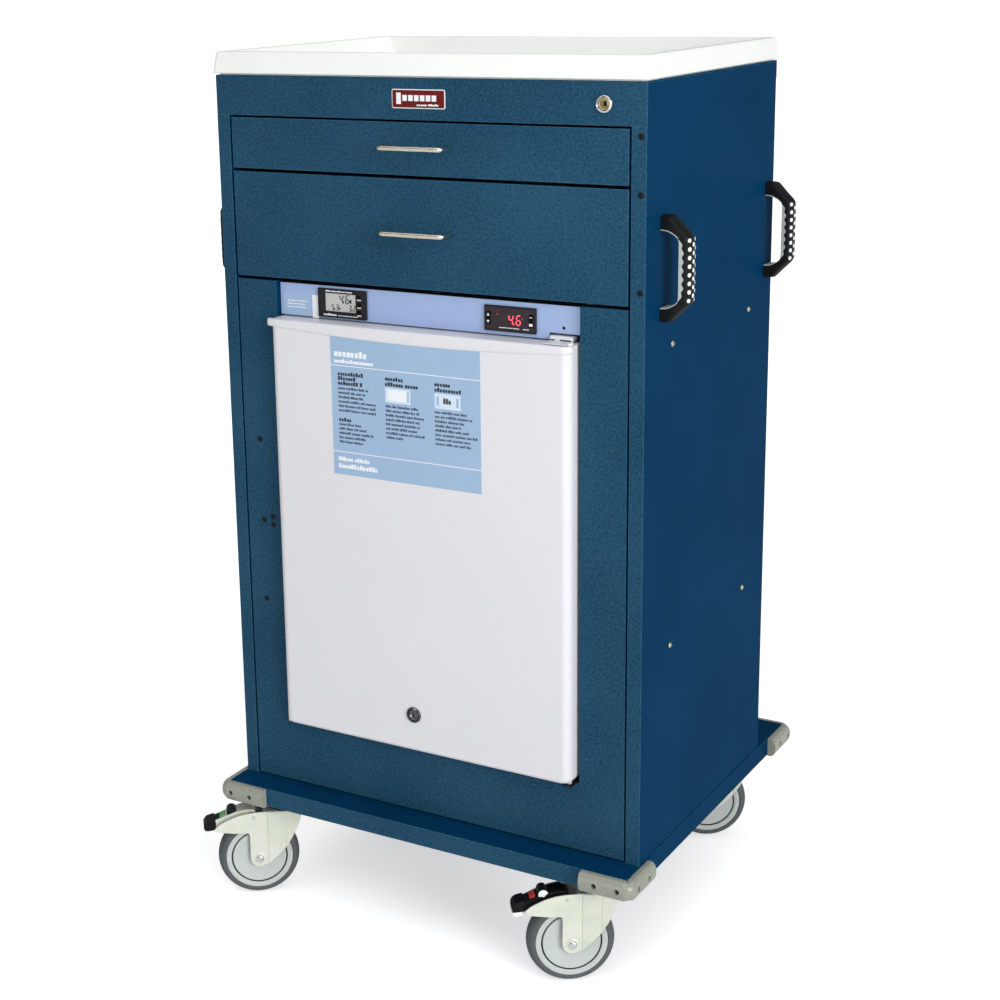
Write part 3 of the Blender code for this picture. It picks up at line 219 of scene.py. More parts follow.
# dark and light colour, roughness from and to, scale of the grain, strength of the relief, fixed sockets
SURFACES = {
    "tray": ("white_tray_plastic", (0.86, 0.885, 0.85), (0.91, 0.925, 0.9), (0.32, 0.42), 900.0, 0.06),
    "fridge": ("fridge_enamel", (0.7, 0.7, 0.74), (0.725, 0.725, 0.762), (0.28, 0.36), 260.0, 0.1),
    "liner": ("fridge_liner", (0.74, 0.76, 0.78), (0.79, 0.8, 0.82), (0.3, 0.4), 300.0, 0.06),
    "strip": ("strip_blue", (0.305, 0.415, 0.675), (0.345, 0.455, 0.715), (0.34, 0.44), 500.0, 0.08),
    "black": ("black_plastic", (0.003, 0.0036, 0.0048), (0.007, 0.0076, 0.0092), (0.38, 0.52), 650.0,
              0.15, {SHEEN: 0.17}),
    # painted shadow for the gap above the control strip
    "gap": ("painted_gap_shadow", (0.001, 0.001, 0.0012), (0.0025, 0.0025, 0.003), (0.7, 0.85), 500.0, 0.05,
            {SHEEN: 0.05}),
    "bezel": ("instrument_black", (0.006, 0.005, 0.0065), (0.013, 0.011, 0.014), (0.3, 0.42), 900.0, 0.1,
              {SHEEN: 0.25}),
    "key": ("key_black", (0.0012, 0.0012, 0.0016), (0.0035, 0.0035, 0.004), (0.25, 0.35), 700.0, 0.05,
            {SHEEN: 0.08}),
    "window": ("dark_window", (0.03, 0.02, 0.025), (0.042, 0.03, 0.036), (0.16, 0.24), 120.0, 0.02,
               {SHEEN: 0.2}),
    "lcd": ("lcd_grey", (0.46, 0.47, 0.45), (0.54, 0.55, 0.53), (0.25, 0.35), 700.0, 0.02,
            {SHEEN: 0.3}),
    "lcd_ink": ("lcd_segment", (0.002, 0.003, 0.003), (0.006, 0.007, 0.007), (0.4, 0.5), 500.0, 0.02,
                {SHEEN: 0.2}),
    "bumper": ("grey_bumper_rubber", (0.285, 0.298, 0.246), (0.302, 0.315, 0.262), (0.24, 0.32), 420.0,
               0.015),
    "nickel": ("satin_nickel", (0.7, 0.65, 0.53), (0.84, 0.79, 0.67), (0.16, 0.3), 260.0, 0.05,
               {METALLIC: 1.0}, (0.2, 1.0, 6.0)),
    "chrome": ("chrome", (0.7, 0.7, 0.71), (0.8, 0.8, 0.8), (0.08, 0.16), 300.0, 0.03, {METALLIC: 1.0}),
    # chrome darkened to show the dark reflections of the door lock: painted reflection
    "dark_chrome": ("dark_chrome", (0.1, 0.1, 0.11), (0.2, 0.2, 0.21), (0.12, 0.22), 300.0, 0.05,
                    {METALLIC: 1.0}),
    "brass": ("yellow_zinc", (0.62, 0.53, 0.3), (0.78, 0.74, 0.55), (0.22, 0.38), 500.0, 0.1,
              {METALLIC: 0.9}),
    "galvanised": ("galvanised_steel", (0.42, 0.43, 0.44), (0.56, 0.57, 0.58), (0.3, 0.46), 60.0, 0.08,
                   {METALLIC: 1.0}),
    "wheel": ("wheel_grey", (0.46, 0.5, 0.49), (0.52, 0.56, 0.545), (0.4, 0.52), 500.0, 0.08),
    "ring": ("wheel_ring_grey", (0.46, 0.5, 0.485), (0.52, 0.555, 0.54), (0.38, 0.5), 500.0, 0.08),
    "tyre": ("tyre_grey", (0.062, 0.071, 0.078), (0.092, 0.103, 0.111), (0.55, 0.72), 800.0, 0.2),
    "insert": ("grip_grey", (0.4, 0.43, 0.41), (0.5, 0.53, 0.5), (0.42, 0.55), 700.0, 0.1),
    "dot": ("dot_white", (0.76, 0.79, 0.78), (0.86, 0.88, 0.87), (0.35, 0.45), 600.0, 0.05),
    "label": ("label_blue", (0.305, 0.45, 0.64), (0.335, 0.48, 0.67), (0.32, 0.4), 300.0, 0.03),
    "label_pale": ("label_pale", (0.6, 0.72, 0.86), (0.66, 0.77, 0.9), (0.34, 0.42), 300.0, 0.03),
    "label_white": ("label_white", (0.8, 0.83, 0.88), (0.87, 0.89, 0.92), (0.34, 0.42), 300.0, 0.03),
    "label_ink": ("label_ink", (0.003, 0.006, 0.014), (0.008, 0.013, 0.026), (0.36, 0.46), 400.0, 0.03),
    "label_text": ("label_text", (0.018, 0.036, 0.07), (0.032, 0.056, 0.1), (0.36, 0.46), 400.0, 0.03),
    "badge": ("badge_red", (0.115, 0.006, 0.004), (0.15, 0.01, 0.007), (0.3, 0.4), 300.0, 0.03,
              {SHEEN: 0.15}),
    "red": ("rocker_red", (0.42, 0.03, 0.03), (0.52, 0.05, 0.045), (0.36, 0.46), 500.0, 0.06),
    "green": ("rocker_green", (0.07, 0.33, 0.08), (0.12, 0.42, 0.13), (0.36, 0.46), 500.0, 0.06),
    "gasket": ("gasket", (0.5, 0.51, 0.53), (0.58, 0.59, 0.6), (0.5, 0.62), 300.0, 0.1),
    "glass": ("shelf_glass", (0.72, 0.86, 0.82), (0.8, 0.92, 0.88), (0.04, 0.08), 80.0, 0.01,
              {"Transmission Weight": 0.85}),
    "enamel": ("compressor_black", (0.012, 0.012, 0.013), (0.026, 0.026, 0.028), (0.2, 0.34), 300.0, 0.12),
}
MATERIALS = {key: surface(*row) for key, row in SURFACES.items()}
# the third colour of each coat is its painted edge highlight
MATERIALS["paint"] = powder_coat("blue_powder_coat", (0.005, 0.04, 0.082),
                                 (0.026, 0.092, 0.16), (0.13, 0.36, 0.48), 0.06)
# a darker copy of the coat: painted shade for faces turned away from the front and for parts in shadow
MATERIALS["side_paint"] = powder_coat("blue_coat_painted_shade", (0.0005, 0.025, 0.073),
                                      (0.002, 0.046, 0.119), (0.1, 0.32, 0.46), 0.01)
MATERIALS["zinc"] = chromate("zinc_chromate")
MATERIALS["led"] = lit("led_red", (0.95, 0.07, 0.1), 1.6)


# ---- mesh tools ----


def merge(target, part):
    """Add one bmesh to another."""
    mesh = bpy.data.meshes.new("part")
    part.to_mesh(mesh)
    part.free()
    target.from_mesh(mesh)
    bpy.data.meshes.remove(mesh)


def bridge(bm, first, second):
    """Faces between two rings; a ring may be a single point."""
    count = max(len(first), len(second))
    for i in range(count):
        j = (i + 1) % count
        corners = ((first, i), (second, i), (second, j), (first, j))
        distinct = list(dict.fromkeys(ring[at % len(ring)] for ring, at in corners))
        if len(distinct) > 2:
            bm.faces.new(distinct)


def outward(bm):
    bmesh.ops.recalc_face_normals(bm, faces=bm.faces)
    return bm


def rounded(bm, radius, segments=2, angle=25):
    """Round every edge that is sharper than the angle. The bevel's own tolerances suit metres."""
    bm.transform(TO_METRES)
    sharp = [edge for edge in bm.edges if edge.is_manifold and edge.calc_face_angle(0.0) > radians(angle)]
    bmesh.ops.bevel(bm, geom=sharp, offset=radius / 1000, segments=segments, profile=0.5, affect="EDGES",
                    clamp_overlap=True)
    bm.transform(TO_MILLIMETRES)
    return bm


def slab(low, high, radius=0, segments=2):
    bm = bmesh.new()
    low, high = Vector(low), Vector(high)
    place = Matrix.Translation((low + high) / 2) @ Matrix.Diagonal((*(high - low), 1))
    bmesh.ops.create_cube(bm, size=1, matrix=place)
    return rounded(bm, radius, segments) if radius else bm


def prism(outline, low, high, axis="Y", radius=0, segments=2):
    """An outline between two planes across the axis. Its points are (x, z) for Y, (x, y) for Z and (y, z)
    for X.
    """
    bm = bmesh.new()
    order = {"X": (2, 0, 1), "Y": (0, 2, 1), "Z": (0, 1, 2)}[axis]
    ends = []
    for depth in (low, high):
        ends.append([bm.verts.new([(u, v, depth)[i] for i in order]) for u, v in outline])
    bm.faces.new(ends[0])
    bm.faces.new(list(reversed(ends[1])))
    bridge(bm, *ends)
    outward(bm)
    return rounded(bm, radius, segments) if radius else bm


def turned(profile, steps=48):
    """A closed profile of (radius, height) points turned about Z."""
    bm = bmesh.new()
    angles = [2 * pi * step / steps for step in range(steps)]
    rings = []
    for radius, height in profile:
        if radius < 1e-6:
            rings.append([bm.verts.new((0, 0, height))])
        else:
            rings.append([bm.verts.new((radius * cos(a), radius * sin(a), height)) for a in angles])
    for first, second in zip(rings, rings[1:] + rings[:1]):
        if len(first) + len(second) > 2:
            bridge(bm, first, second)
    return outward(bm)


def loft(rings):
    """A skin over rings of equally many points, closed at both ends."""
    bm = bmesh.new()
    made = [[bm.verts.new(point) for point in ring] for ring in rings]
    for first, second in zip(made, made[1:]):
        bridge(bm, first, second)
    bm.faces.new(made[0])
    bm.faces.new(list(reversed(made[-1])))
    return outward(bm)


def tube(points, radius, sides=16):
    """A round bar along points in a level plane, closed flat at its ends."""
    points = [Vector(p) for p in points]
    rings = []
    last = len(points) - 1
    for i, point in enumerate(points):
        along = (points[min(i + 1, last)] - points[max(i - 1, 0)]).normalized()
        across = along.cross(Vector((0, 0, 1))).normalized()
        up = across.cross(along)
        angles = [2 * pi * k / sides for k in range(sides)]
        rings.append([point + radius * (cos(a) * across + sin(a) * up) for a in angles])
    return loft(rings)


def dome(radius, height, steps=20, rise=4):
    """A flat-bottomed button: its face is a low dome."""
    crown = [(radius * cos(a), height * sin(a)) for a in quarter(rise)]
    return turned([(0, -0.5), (radius, -0.5)] + crown, steps)


def aim(origin, normal):
    """A place where local Z points along the normal."""
    return Matrix.Translation(origin) @ Vector(normal).to_track_quat("Z", "Y").to_matrix().to_4x4()


def quarter(steps):
    """Angles from nought to a right angle."""
    return [pi / 2 * k / steps for k in range(steps + 1)]


def mirrored(half):
    """A closed profile from its upper half, which starts on the mirror line."""
    return half + [(radius, -height) for radius, height in reversed(half[1:])]


def arc(centre, radius, start, end, steps):
    angles = [radians(start + (end - start) * k / steps) for k in range(steps + 1)]
    return [(centre[0] + radius * cos(a), centre[1] + radius * sin(a)) for a in angles]


def rounded_rectangle(half_x, half_y, radius, steps=6, centre=(0, 0)):
    """Outline with one corner radius, or one for each corner from the upper right round to the left."""
    points = []
    radii = radius if isinstance(radius, list) else [radius] * 4
    for k, (sx, sy) in enumerate(((1, 1), (-1, 1), (-1, -1), (1, -1))):
        middle = (centre[0] + sx * (half_x - radii[k]), centre[1] + sy * (half_y - radii[k]))
        points += arc(middle, radii[k], 90 * k, 90 * (k + 1), steps)
    return points


def carve(bm, cutter):
    """bm without the space of the cutter."""
    holders = []
    for part in (bm, cutter):
        mesh = bpy.data.meshes.new("carve")
        part.to_mesh(mesh)
        part.free()
        holders.append(bpy.data.objects.new("carve", mesh))
        bpy.context.scene.collection.objects.link(holders[-1])
    target, tool = holders
    modifier = target.modifiers.new("carve", "BOOLEAN")
    modifier.operation = "DIFFERENCE"
    modifier.object = tool
    bpy.context.view_layer.update()
    evaluated = target.evaluated_get(bpy.context.evaluated_depsgraph_get())
    result = bmesh.new()
    result.from_mesh(evaluated.to_mesh())
    evaluated.to_mesh_clear()
    for holder in holders:
        mesh = holder.data
        bpy.data.objects.remove(holder, do_unlink=True)
        bpy.data.meshes.remove(mesh)
    bmesh.ops.remove_doubles(result, verts=result.verts, dist=0.001)
    return result


class Shape:
    """Closed bodies gathered in one mesh, each with one of the piece's materials."""

    def __init__(self, matrix=None):
        self.bm = bmesh.new()
        self.matrix = matrix or Matrix.Identity(4)

    def add(self, part, slot=0, matrix=None):
        part.transform(self.matrix @ matrix if matrix is not None else self.matrix)
        outward(part)
        for face in part.faces:
            face.material_index = slot
        merge(self.bm, part)
        return self

    def piece(self, name, materials, slot, replaces=(), body="cabinet"):
        mesh = bpy.data.meshes.new(name)
        self.bm.transform(TO_METRES)
        self.bm.to_mesh(mesh)
        self.bm.free()
        for key in materials.split():
            mesh.materials.append(MATERIALS[key])
        mesh.shade_smooth()
        mesh.set_sharp_from_angle(angle=radians(42))
        obj = bpy.data.objects.new(name, mesh)
        bpy.context.scene.collection.objects.link(obj)
        even = obj.modifiers.new("even_shading", "WEIGHTED_NORMAL")
        even.keep_sharp = True
        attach(obj, body)
        if replaces:
            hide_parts(*replaces)


def copy_of(node):
    """The node's own mesh with its points merged and its flat faces whole again."""
    bm = bmesh.new()
    bm.from_mesh(frame["nodes"][node].data)
    bmesh.ops.remove_doubles(bm, verts=bm.verts, dist=1e-5)
    bmesh.ops.dissolve_limit(bm, angle_limit=radians(0.5), verts=bm.verts, edges=bm.edges)
    bm.transform(TO_MILLIMETRES)
    return bm


def softened(node, body, materials, radius, slot, segments=2, inset=0):
    """The node as it is, with its sheet edges rounded.

    A second material, a darker copy of the paint that is painted shade, is for faces that don't look
    forwards.
    inset draws the outer edges in, all round as seen from the front.
    """
    bm = copy_of(node)
    low, high = box(node)
    for vert in bm.verts:
        for axis in (0, 2):
            if vert.co[axis] - low[axis] < inset:
                vert.co[axis] += inset
            elif high[axis] - vert.co[axis] < inset:
                vert.co[axis] -= inset
    shape = Shape().add(rounded(bm, radius, segments, 40))
    if " " in materials:
        # painted shade: faces that don't look forwards take the darker copy of the paint
        for face in shape.bm.faces:
            face.material_index = 0 if face.normal.y < -0.4 else 1
    shape.piece(f"{node}_skin", materials, slot, [node], body)


# ---- cabinet ----


def worktop_tray():
    """Moulded tray: tapered skirt, rounded rim, and a recess with soft corners."""
    low, high = box("worktop_tray")
    centre = ((low.x + high.x) / 2, (low.y + high.y) / 2)
    half_x, half_y = (high.x - low.x) / 2, (high.y - low.y) / 2
    top, bottom, taper = high.z, low.z, 4.5
    rim, lip, reveal = 2.4, 8.5, 1.9
    levels = [(7.5, bottom, 4), (7.5, bottom + reveal, 4), (1, bottom + reveal, 6),
              (0, bottom + reveal + 1, 6), (taper * 0.85, top - rim, 6)]
    levels += [(taper + rim * (1 - cos(a)) * 0.9, top - rim * (1 - sin(a)), 6) for a in quarter(5)[1:]]
    inner = taper + lip
    levels += [(inner + 3 * sin(a), top - 3 * (1 - cos(a)), 10) for a in quarter(4)]
    cove, cove_z = inner + 5.5, bottom + 6 + 7
    levels.append((cove, cove_z, 13))
    levels += [(cove + 7 * (1 - cos(a)), cove_z - 7 * sin(a), 17) for a in quarter(4)[1:]]
    rings = []
    for inset, z, corner in levels:
        outline = rounded_rectangle(half_x - inset, half_y - inset, corner, 6, centre)
        rings.append([(x, y, z) for x, y in outline])
    tray = Shape().add(loft(rings))
    tray.piece("worktop_tray_moulding", "tray", "white_plastic", ["worktop_tray"])


def bumper(corner):
    """Half-round moulding round one corner of the platform, with recessed screws in each leg."""
    low, high = box(f"bumper_{corner}")
    x_side = 1 if corner.endswith("right") else -1
    y_side = 1 if corner.startswith("rear") else -1
    depth, leg = 13.5, 78
    inner_radius = 3.3
    half = (high.z - low.z) / 2
    bulge = 8.5
    flat = depth - bulge
    section = [(0, -half + 0.4), (0.4, -half), (flat, -half)]
    section += [(flat + bulge * sin(a), -half * cos(a)) for a in (pi * k / 16 for k in range(1, 16))]
    section += [(flat, half), (0.4, half), (0, half - 0.4)]
    run = leg - depth
    stations = [((-run, 0), (0, 1)), ((0, 0), (0, 1))]
    stations += [((0, 0), (sin(a), cos(a))) for a in quarter(10)[1:-1]]
    stations += [((0, 0), (1, 0)), ((0, -run), (1, 0))]
    rings = []
    for (px, py), (nx, ny) in stations:
        squat = 1 - 0.13 * sin(2 * atan2(nx, ny)) ** 2
        ring = [(inner_radius + out, up * squat) for out, up in section]
        rings.append([(px + nx * reach, py + ny * reach, up) for reach, up in ring])
    body = rounded(loft(rings), 0.7, 2, 55)
    reach = inner_radius + depth
    spots = [(Vector((-along, reach, 0)), Vector((0, 1, 0))) for along in BUMPER_HOLES]
    spots += [(Vector((reach, -along, 0)), Vector((1, 0, 0))) for along in BUMPER_HOLES]
    drills = bmesh.new()
    for spot, normal in spots:
        drill = turned(((0, 0), (4, 0), (4, 12), (0, 12)), 20)
        drill.transform(aim(spot - normal * 4.5, normal))
        merge(drills, drill)
    body = carve(body, drills)
    edge_x = x_side * (PLATE_HIGH.x - 3)
    edge_y = (PLATE_HIGH.y - 3) if y_side > 0 else (PLATE_LOW.y + 3)
    mirror = Matrix.Diagonal((x_side, y_side, 1, 1))
    place = Matrix.Translation((edge_x, edge_y, (low.z + high.z) / 2)) @ mirror
    shape = Shape(place)
    shape.add(body)
    for spot, normal in spots:
        shape.add(dome(3.1, 0.7, 16, 3), 1, aim(spot - normal * 4, normal))
    shape.piece(f"bumper_moulding_{corner}", "bumper black", "grey_bumper", [f"bumper_{corner}"])


# half of a side handle's bow, from its foot to the middle of the grip: outer and inner (reach, height)
HALF_BOW = [
    ((0.3, 69.5), (0.3, 50.5)), ((9.5, 69.5), (8, 50)), ((13.5, 69), (11.5, 49)),
    ((16, 66.8), (15, 47.5)), ((27, 55.8), (20, 44.8)), ((37.5, 45.5), (24, 41.5)),
    ((40, 41.5), (25.8, 38.5)), ((40.8, 37), (26.4, 34.5)), ((41, 25), (26.5, 25)),
    ((41, 12.5), (26.5, 12.5)), ((41, 0), (26.5, 0)),
]


def side_handle(x_name, y_name):
    """Bow handle with a crowned outer face, a waved soft insert and raised dots."""
    node = f"handle_{x_name}_{y_name}"
    low, high = box(node)
    side = SIDES[x_name]
    centre = (low + high) / 2
    place = Matrix.Translation((side * SIDE_X, centre.y, centre.z)) @ Matrix.Diagonal((side, 1, 1, 1))
    half_width, crown, corner = 13, 6.8, 1.6
    stations = HALF_BOW + [((ox, -oz), (ix, -iz)) for (ox, oz), (ix, iz) in reversed(HALF_BOW[:-1])]
    rings = []
    for (ox, oz), (ix, iz) in stations:
        outer, inner = Vector((ox, 0, oz)), Vector((ix, 0, iz))
        up = (outer - inner).normalized()
        size = (outer - inner).length
        bulge = min(crown, 0.45 * size) * min(1, 0.45 + ox / 50)
        ring = []
        for k in range(13):
            a = pi * k / 12
            ring.append(inner + up * (size - bulge + bulge * sin(a)) + Vector((0, -half_width * cos(a), 0)))
        ring.append(inner + up * corner + Vector((0, half_width, 0)))
        ring.append(inner + Vector((0, half_width - corner, 0)))
        ring.append(inner + Vector((0, corner - half_width, 0)))
        ring.append(inner + up * corner + Vector((0, -half_width, 0)))
        rings.append(ring)
    shape = Shape(place)
    shape.add(loft(rings))
    waves, grip = 7, 39.5
    steps = 84
    lining = []
    for step in range(steps + 1):
        z = grip - 2 * grip * step / steps
        thick = 5.4 - 1.3 * cos(2 * pi * waves * step / steps)
        ends = min(1, 1.4 * sin(pi * step / steps) ** 0.5) if 0 < step < steps else 0.35
        back = 26 if abs(z) < 36 else 26 - (abs(z) - 36) * 0.35
        lining.append(((back, z), (back + thick * ends, z)))
    outline = [near for near, _ in lining] + [far for _, far in reversed(lining)]
    shape.add(prism(outline, -half_width - 0.4, half_width + 0.4, "Y"), 1)
    for sign in (1, -1):
        path = [(0.6, 50.3), (8, 49.8), (11.5, 48.8), (15, 47.3), (20, 44.6), (24.5, 40.8)]
        strip = [(x, sign * z) for x, z in path] + [(x + 0.4, sign * (z + 1.1)) for x, z in reversed(path)]
        shape.add(prism(strip, -half_width - 0.2, half_width + 0.2, "Y"), 1)
    pitch = 11
    for column, count in ((-1, 8), (0, 7), (1, 8)):
        angle = radians(90 + column * 41)
        for k in range(count):
            z = (k - (count - 1) / 2) * pitch
            y = -half_width * cos(angle) if column else 0
            reach = 41 - crown + crown * sin(angle)
            if abs(z) > 37.5:
                reach -= (abs(z) - 36.5) * 0.25
            slope = Vector((sin(angle) / crown, -cos(angle) / half_width, 0)).normalized()
            shape.add(dome(3, 0.7, 16, 3), 2, aim((reach - 0.1, y, z), slope))
    shape.piece(f"bow_{x_name}_{y_name}", "black insert dot", "black_plastic", [node])


def hole_plugs():
    plugs = Shape()
    left_x = box("lower_front_panel")[0].x
    for x, z in ((26.5, 722), (28, 598.5), (44.2, 605), (44.2, 592.5), (26.5, 475)):
        plugs.add(dome(4.2, 1.7, 20, 4), 0, aim((left_x + x, FRONT, z), FORWARD))
    for z in (1179, 1106, 982):
        plugs.add(dome(4.2, 1.8, 20, 4), 0, aim((SIDE_X - 7.2, FRONT, z), FORWARD))
    plugs.piece("hole_plugs", "black", "black_plastic")


def side_rivets():
    rivets = Shape()
    for side in SIDES.values():
        for y, z in ((-153, 901), (120.5, 900), (-147, 477), (121.6, 478)):
            spot = aim((side * SIDE_X, y, z), (side, 0, 0))
            rivets.add(dome(4, 1.2, 18, 3), 0, spot)
            rivets.add(turned(((0, 0), (1.7, 0), (1.4, 2.4), (0, 2.6)), 12), 0, spot)
    rivets.piece("side_rivets", "brass", "nickel")


def back_screws():
    """Slotted screws through the back panel; those of the outer columns sit on the side panels' flanges."""
    low, high = box("back_panel")
    screws = Shape()
    for x in (low.x + 34, 0, high.x - 34):
        for z in (low.z + 25, 560, 880, high.z - 35):
            spot = aim((x, PANEL_BACK - 1.2 if x else high.y, z), (0, 1, 0))
            body = carve(dome(4.2, 2, 20, 4), slab((-3.5, -0.4, 0.9), (3.5, 0.4, 4)))
            screws.add(body, 0, Matrix.Translation((0, 1.6 if x else 0, 0)) @ spot)
    screws.piece("back_screws", "brass", "nickel")


def badge_plate():
    """Red plate in a pale frame, with blank letters and a blank line of print."""
    badge = Shape()
    middle, face = Vector((2, 0, 1218.8)), FRONT
    for inset, proud, slot in ((0, 1, 0), (1.2, 1.4, 1)):
        outline = rounded_rectangle(41 - inset, 12.7 - inset, 2.6 - inset, 5, (middle.x, middle.z))
        badge.add(prism(outline, face - proud, face - CLEAR / 3, "Y", 0.3, 1), slot)
    rng = random.Random(2)
    boxes = [(middle.x - 33.5, middle.x - 26.5, middle.z - 7, middle.z + 8)]
    letters = [middle.x - 24 + 9 * k for k in range(6)]
    boxes += [(left, left + 6.8, middle.z - 2.8, middle.z + 5) for left in letters]
    boxes += blank_text(rng, middle.x - 2, middle.z - 7.8, 34, 2.6, 3.2, (5, 5))
    badge.add(marks(boxes, face - 1.7, face - 1.2), 0)
    badge.piece("badge_plate", "label_white badge", "white_plastic")


def cabinet_lock():
    """Flanged barrel in the header and the plug that turns in it."""
    pos = joint_at("cabinet_lock_turn")
    place = aim(pos, FORWARD)
    barrel = Shape(place)
    profile = ((7.4, 0), (11.2, 0), (11.7, 0.8), (11.3, 2.4), (10.2, 3.4), (9, 3.6),
               (8.2, 2.6), (7.6, 1.2))
    barrel.add(turned(profile, 48))
    barrel.add(turned(((7, -15), (9.5, -15), (9.5, 0.5), (7, 0.5)), 32), 1)
    barrel.piece("lock_barrel", "chrome brass", "nickel", ["cabinet_lock_barrel"])
    plug = Shape(place)
    core = turned(((0, -18), (6.8, -18), (7, 1.2), (6.2, 2), (0, 2)), 40)
    keyway = slab((-1.1, -3, -2), (1.1, 3.4, 6))
    merge(keyway, slab((-2.2, -1.2, -2), (1.8, 1, 6)))
    plug.add(carve(core, keyway))
    plug.add(slab((-2.1, -2.9, -3), (1.7, 3.3, -1.6)), 1)
    low, _ = box("cabinet_lock_plug")
    plug.matrix = Matrix.Identity(4)
    plug.add(slab((low.x, FRONT + 15.5, pos.z - 6), (pos.x + 7, FRONT + 17.5, pos.z + 6), 0.8))
    plug.piece("lock_plug", "brass key", "nickel", ["cabinet_lock_plug"], "cabinet_lock")


def cabinet():
    for node, radius in (("left_side_panel", 0.6), ("right_side_panel", 0.6), ("top_header", 0.6),
                         ("lower_front_panel", 0.6), ("base_frame", 0.9), ("drawer_bay_floor", 0.4)):
        softened(node, "cabinet", "paint side_paint", radius, "blue_powder_coat")
    worktop_tray()
    for corner in CASTERS:
        bumper(corner)
    for x_name in SIDES:
        for y_name in ("front", "rear"):
            side_handle(x_name, y_name)
    hole_plugs()
    side_rivets()
    back_screws()
    badge_plate()
    cabinet_lock()


# ---- drawers ----


def drawer(name):
    """Drawer front with rounded edges, and its bent wire pull."""
    body = f"{name}_drawer"
    softened(f"{name}_drawer_front", body, "paint side_paint", 1, "blue_powder_coat", 3, 0.6)
    low, high = box(f"{name}_drawer_pull")
    radius, bend = (high.z - low.z) / 2, 6
    z = (low.z + high.z) / 2
    left = [(low.x + radius, FRONT - CLEAR, z), (low.x + radius, low.y + radius + bend, z)]
    left += [(low.x + radius + bend * (1 - cos(a)), low.y + radius + bend * (1 - sin(a)), z)
             for a in quarter(8)[1:]]
    middle = (low.x + high.x) / 2
    path = left + [(2 * middle - x, y, z) for x, y, z in reversed(left)]
    pull = Shape().add(tube(path, radius * 0.93, 24))
    pull.piece(f"{name}_wire_pull", "nickel", "nickel", [f"{name}_drawer_pull"], body)


# ---- refrigerator ----


DOOR_CENTRE = ((DOOR_LOW.x + DOOR_HIGH.x) / 2, (DOOR_LOW.z + DOOR_HIGH.z) / 2)
DOOR_HALF = ((DOOR_HIGH.x - DOOR_LOW.x) / 2, (DOOR_HIGH.z - DOOR_LOW.z) / 2)


def door():
    """Door shell with rounded edges, a grip moulding along its top and a lip along its bottom."""
    low, high = DOOR_LOW, DOOR_HIGH
    half_x, half_z = DOOR_HALF
    side_round, end_round, deep = 12.5, 6, 12.5
    levels = [(0.8, 0.8, high.y), (0, 0, high.y - 0.8)]
    for a in quarter(8):
        levels.append((side_round * (1 - cos(a)), end_round * (1 - cos(a)), low.y + deep * (1 - sin(a))))
    skin = []
    for inset_x, inset_z, y in levels:
        corners = [max(size - inset_x / 2, 1.2) for size in (3, 2.5, 2.5, 9)]
        outline = rounded_rectangle(half_x - inset_x, half_z - inset_z, corners, 5, DOOR_CENTRE)
        skin.append([(x, y, z) for x, z in outline])
    bore = turned(((0, -20.5), (8.8, -20.5), (8.8, 10), (0, 10)), 32)
    bore.transform(aim(joint_at("fridge_lock_turn"), FORWARD))
    shape = Shape().add(carve(loft(skin), bore))

    left, knee = low.x - 3.4, high.x - side_round
    straight, bent = 44, 12
    last_turn = radians(74)
    grip = []
    for k in range(straight + bent + 1):
        turn = last_turn * max(0, k - straight) / bent
        x = left + (knee - left) * min(k, straight) / straight + side_round * sin(turn)
        away = Vector((sin(turn), -cos(turn)))
        share = (x - DOOR_CENTRE[0]) / half_x
        bottom = high.z - 10 - 8.5 * (1 - min(1, share * share))
        end = min(1, (k + 0.4) / 1.6, (straight + bent - k + 0.8) / 1.6)
        edge = Vector((x, low.y + side_round * (1 - cos(turn)))) + away * (3 * end - 1.4)
        top = high.z + 0.6
        section = ((6, top - 0.4), (2.6, top), (1, top - 0.8), (0, top - 3),
                   (0.1, bottom + 3), (0.4, bottom + 1), (1.5, bottom), (6, bottom + 0.6))
        grip.append([(*(edge - away * back), z) for back, z in section])
    shape.add(loft(grip))
    lip = ((low.y + 5, low.z + 0.6), (low.y + 1.2, low.z + 2.2), (low.y - 0.4, low.z + 5.2),
           (low.y - 0.4, low.z + 7.4), (low.y + 1.4, low.z + 8), (low.y + 6, low.z + 7))
    shape.add(prism(lip, low.x + 12.5, high.x - 12.5, "X", 0.3, 1))
    shape.piece("door_shell", "fridge", "fridge_white", ["fridge_door"], "fridge_door")


def door_lock():
    """Ring in the door, and the slotted plug that turns in it."""
    place = aim(joint_at("fridge_lock_turn"), FORWARD)
    ring = Shape(place)
    ring.add(turned(((8.8, -4), (11.8, -1), (12, 0.6), (11.2, 2.2), (9.8, 2.6), (8.8, 1)), 48))
    ring.piece("door_lock_ring", "dark_chrome", "nickel", body="fridge_door")
    face = ((8.4, 0.6), (7.8, 1.4), (5.6, 1.6), (4.8, 0.6), (0, 0.6))
    plug = turned(((0, -20), (8.4, -20), *face), 44)
    plug = carve(plug, slab((-0.9, -3.4, -2), (0.9, 3.4, 4)))
    lock = Shape(place).add(plug)
    lock.add(slab((-0.8, -3.3, -3), (0.8, 3.3, -1.6)), 1)
    lock.piece("door_lock_plug", "dark_chrome key", "nickel", ["fridge_lock"], "fridge_lock")


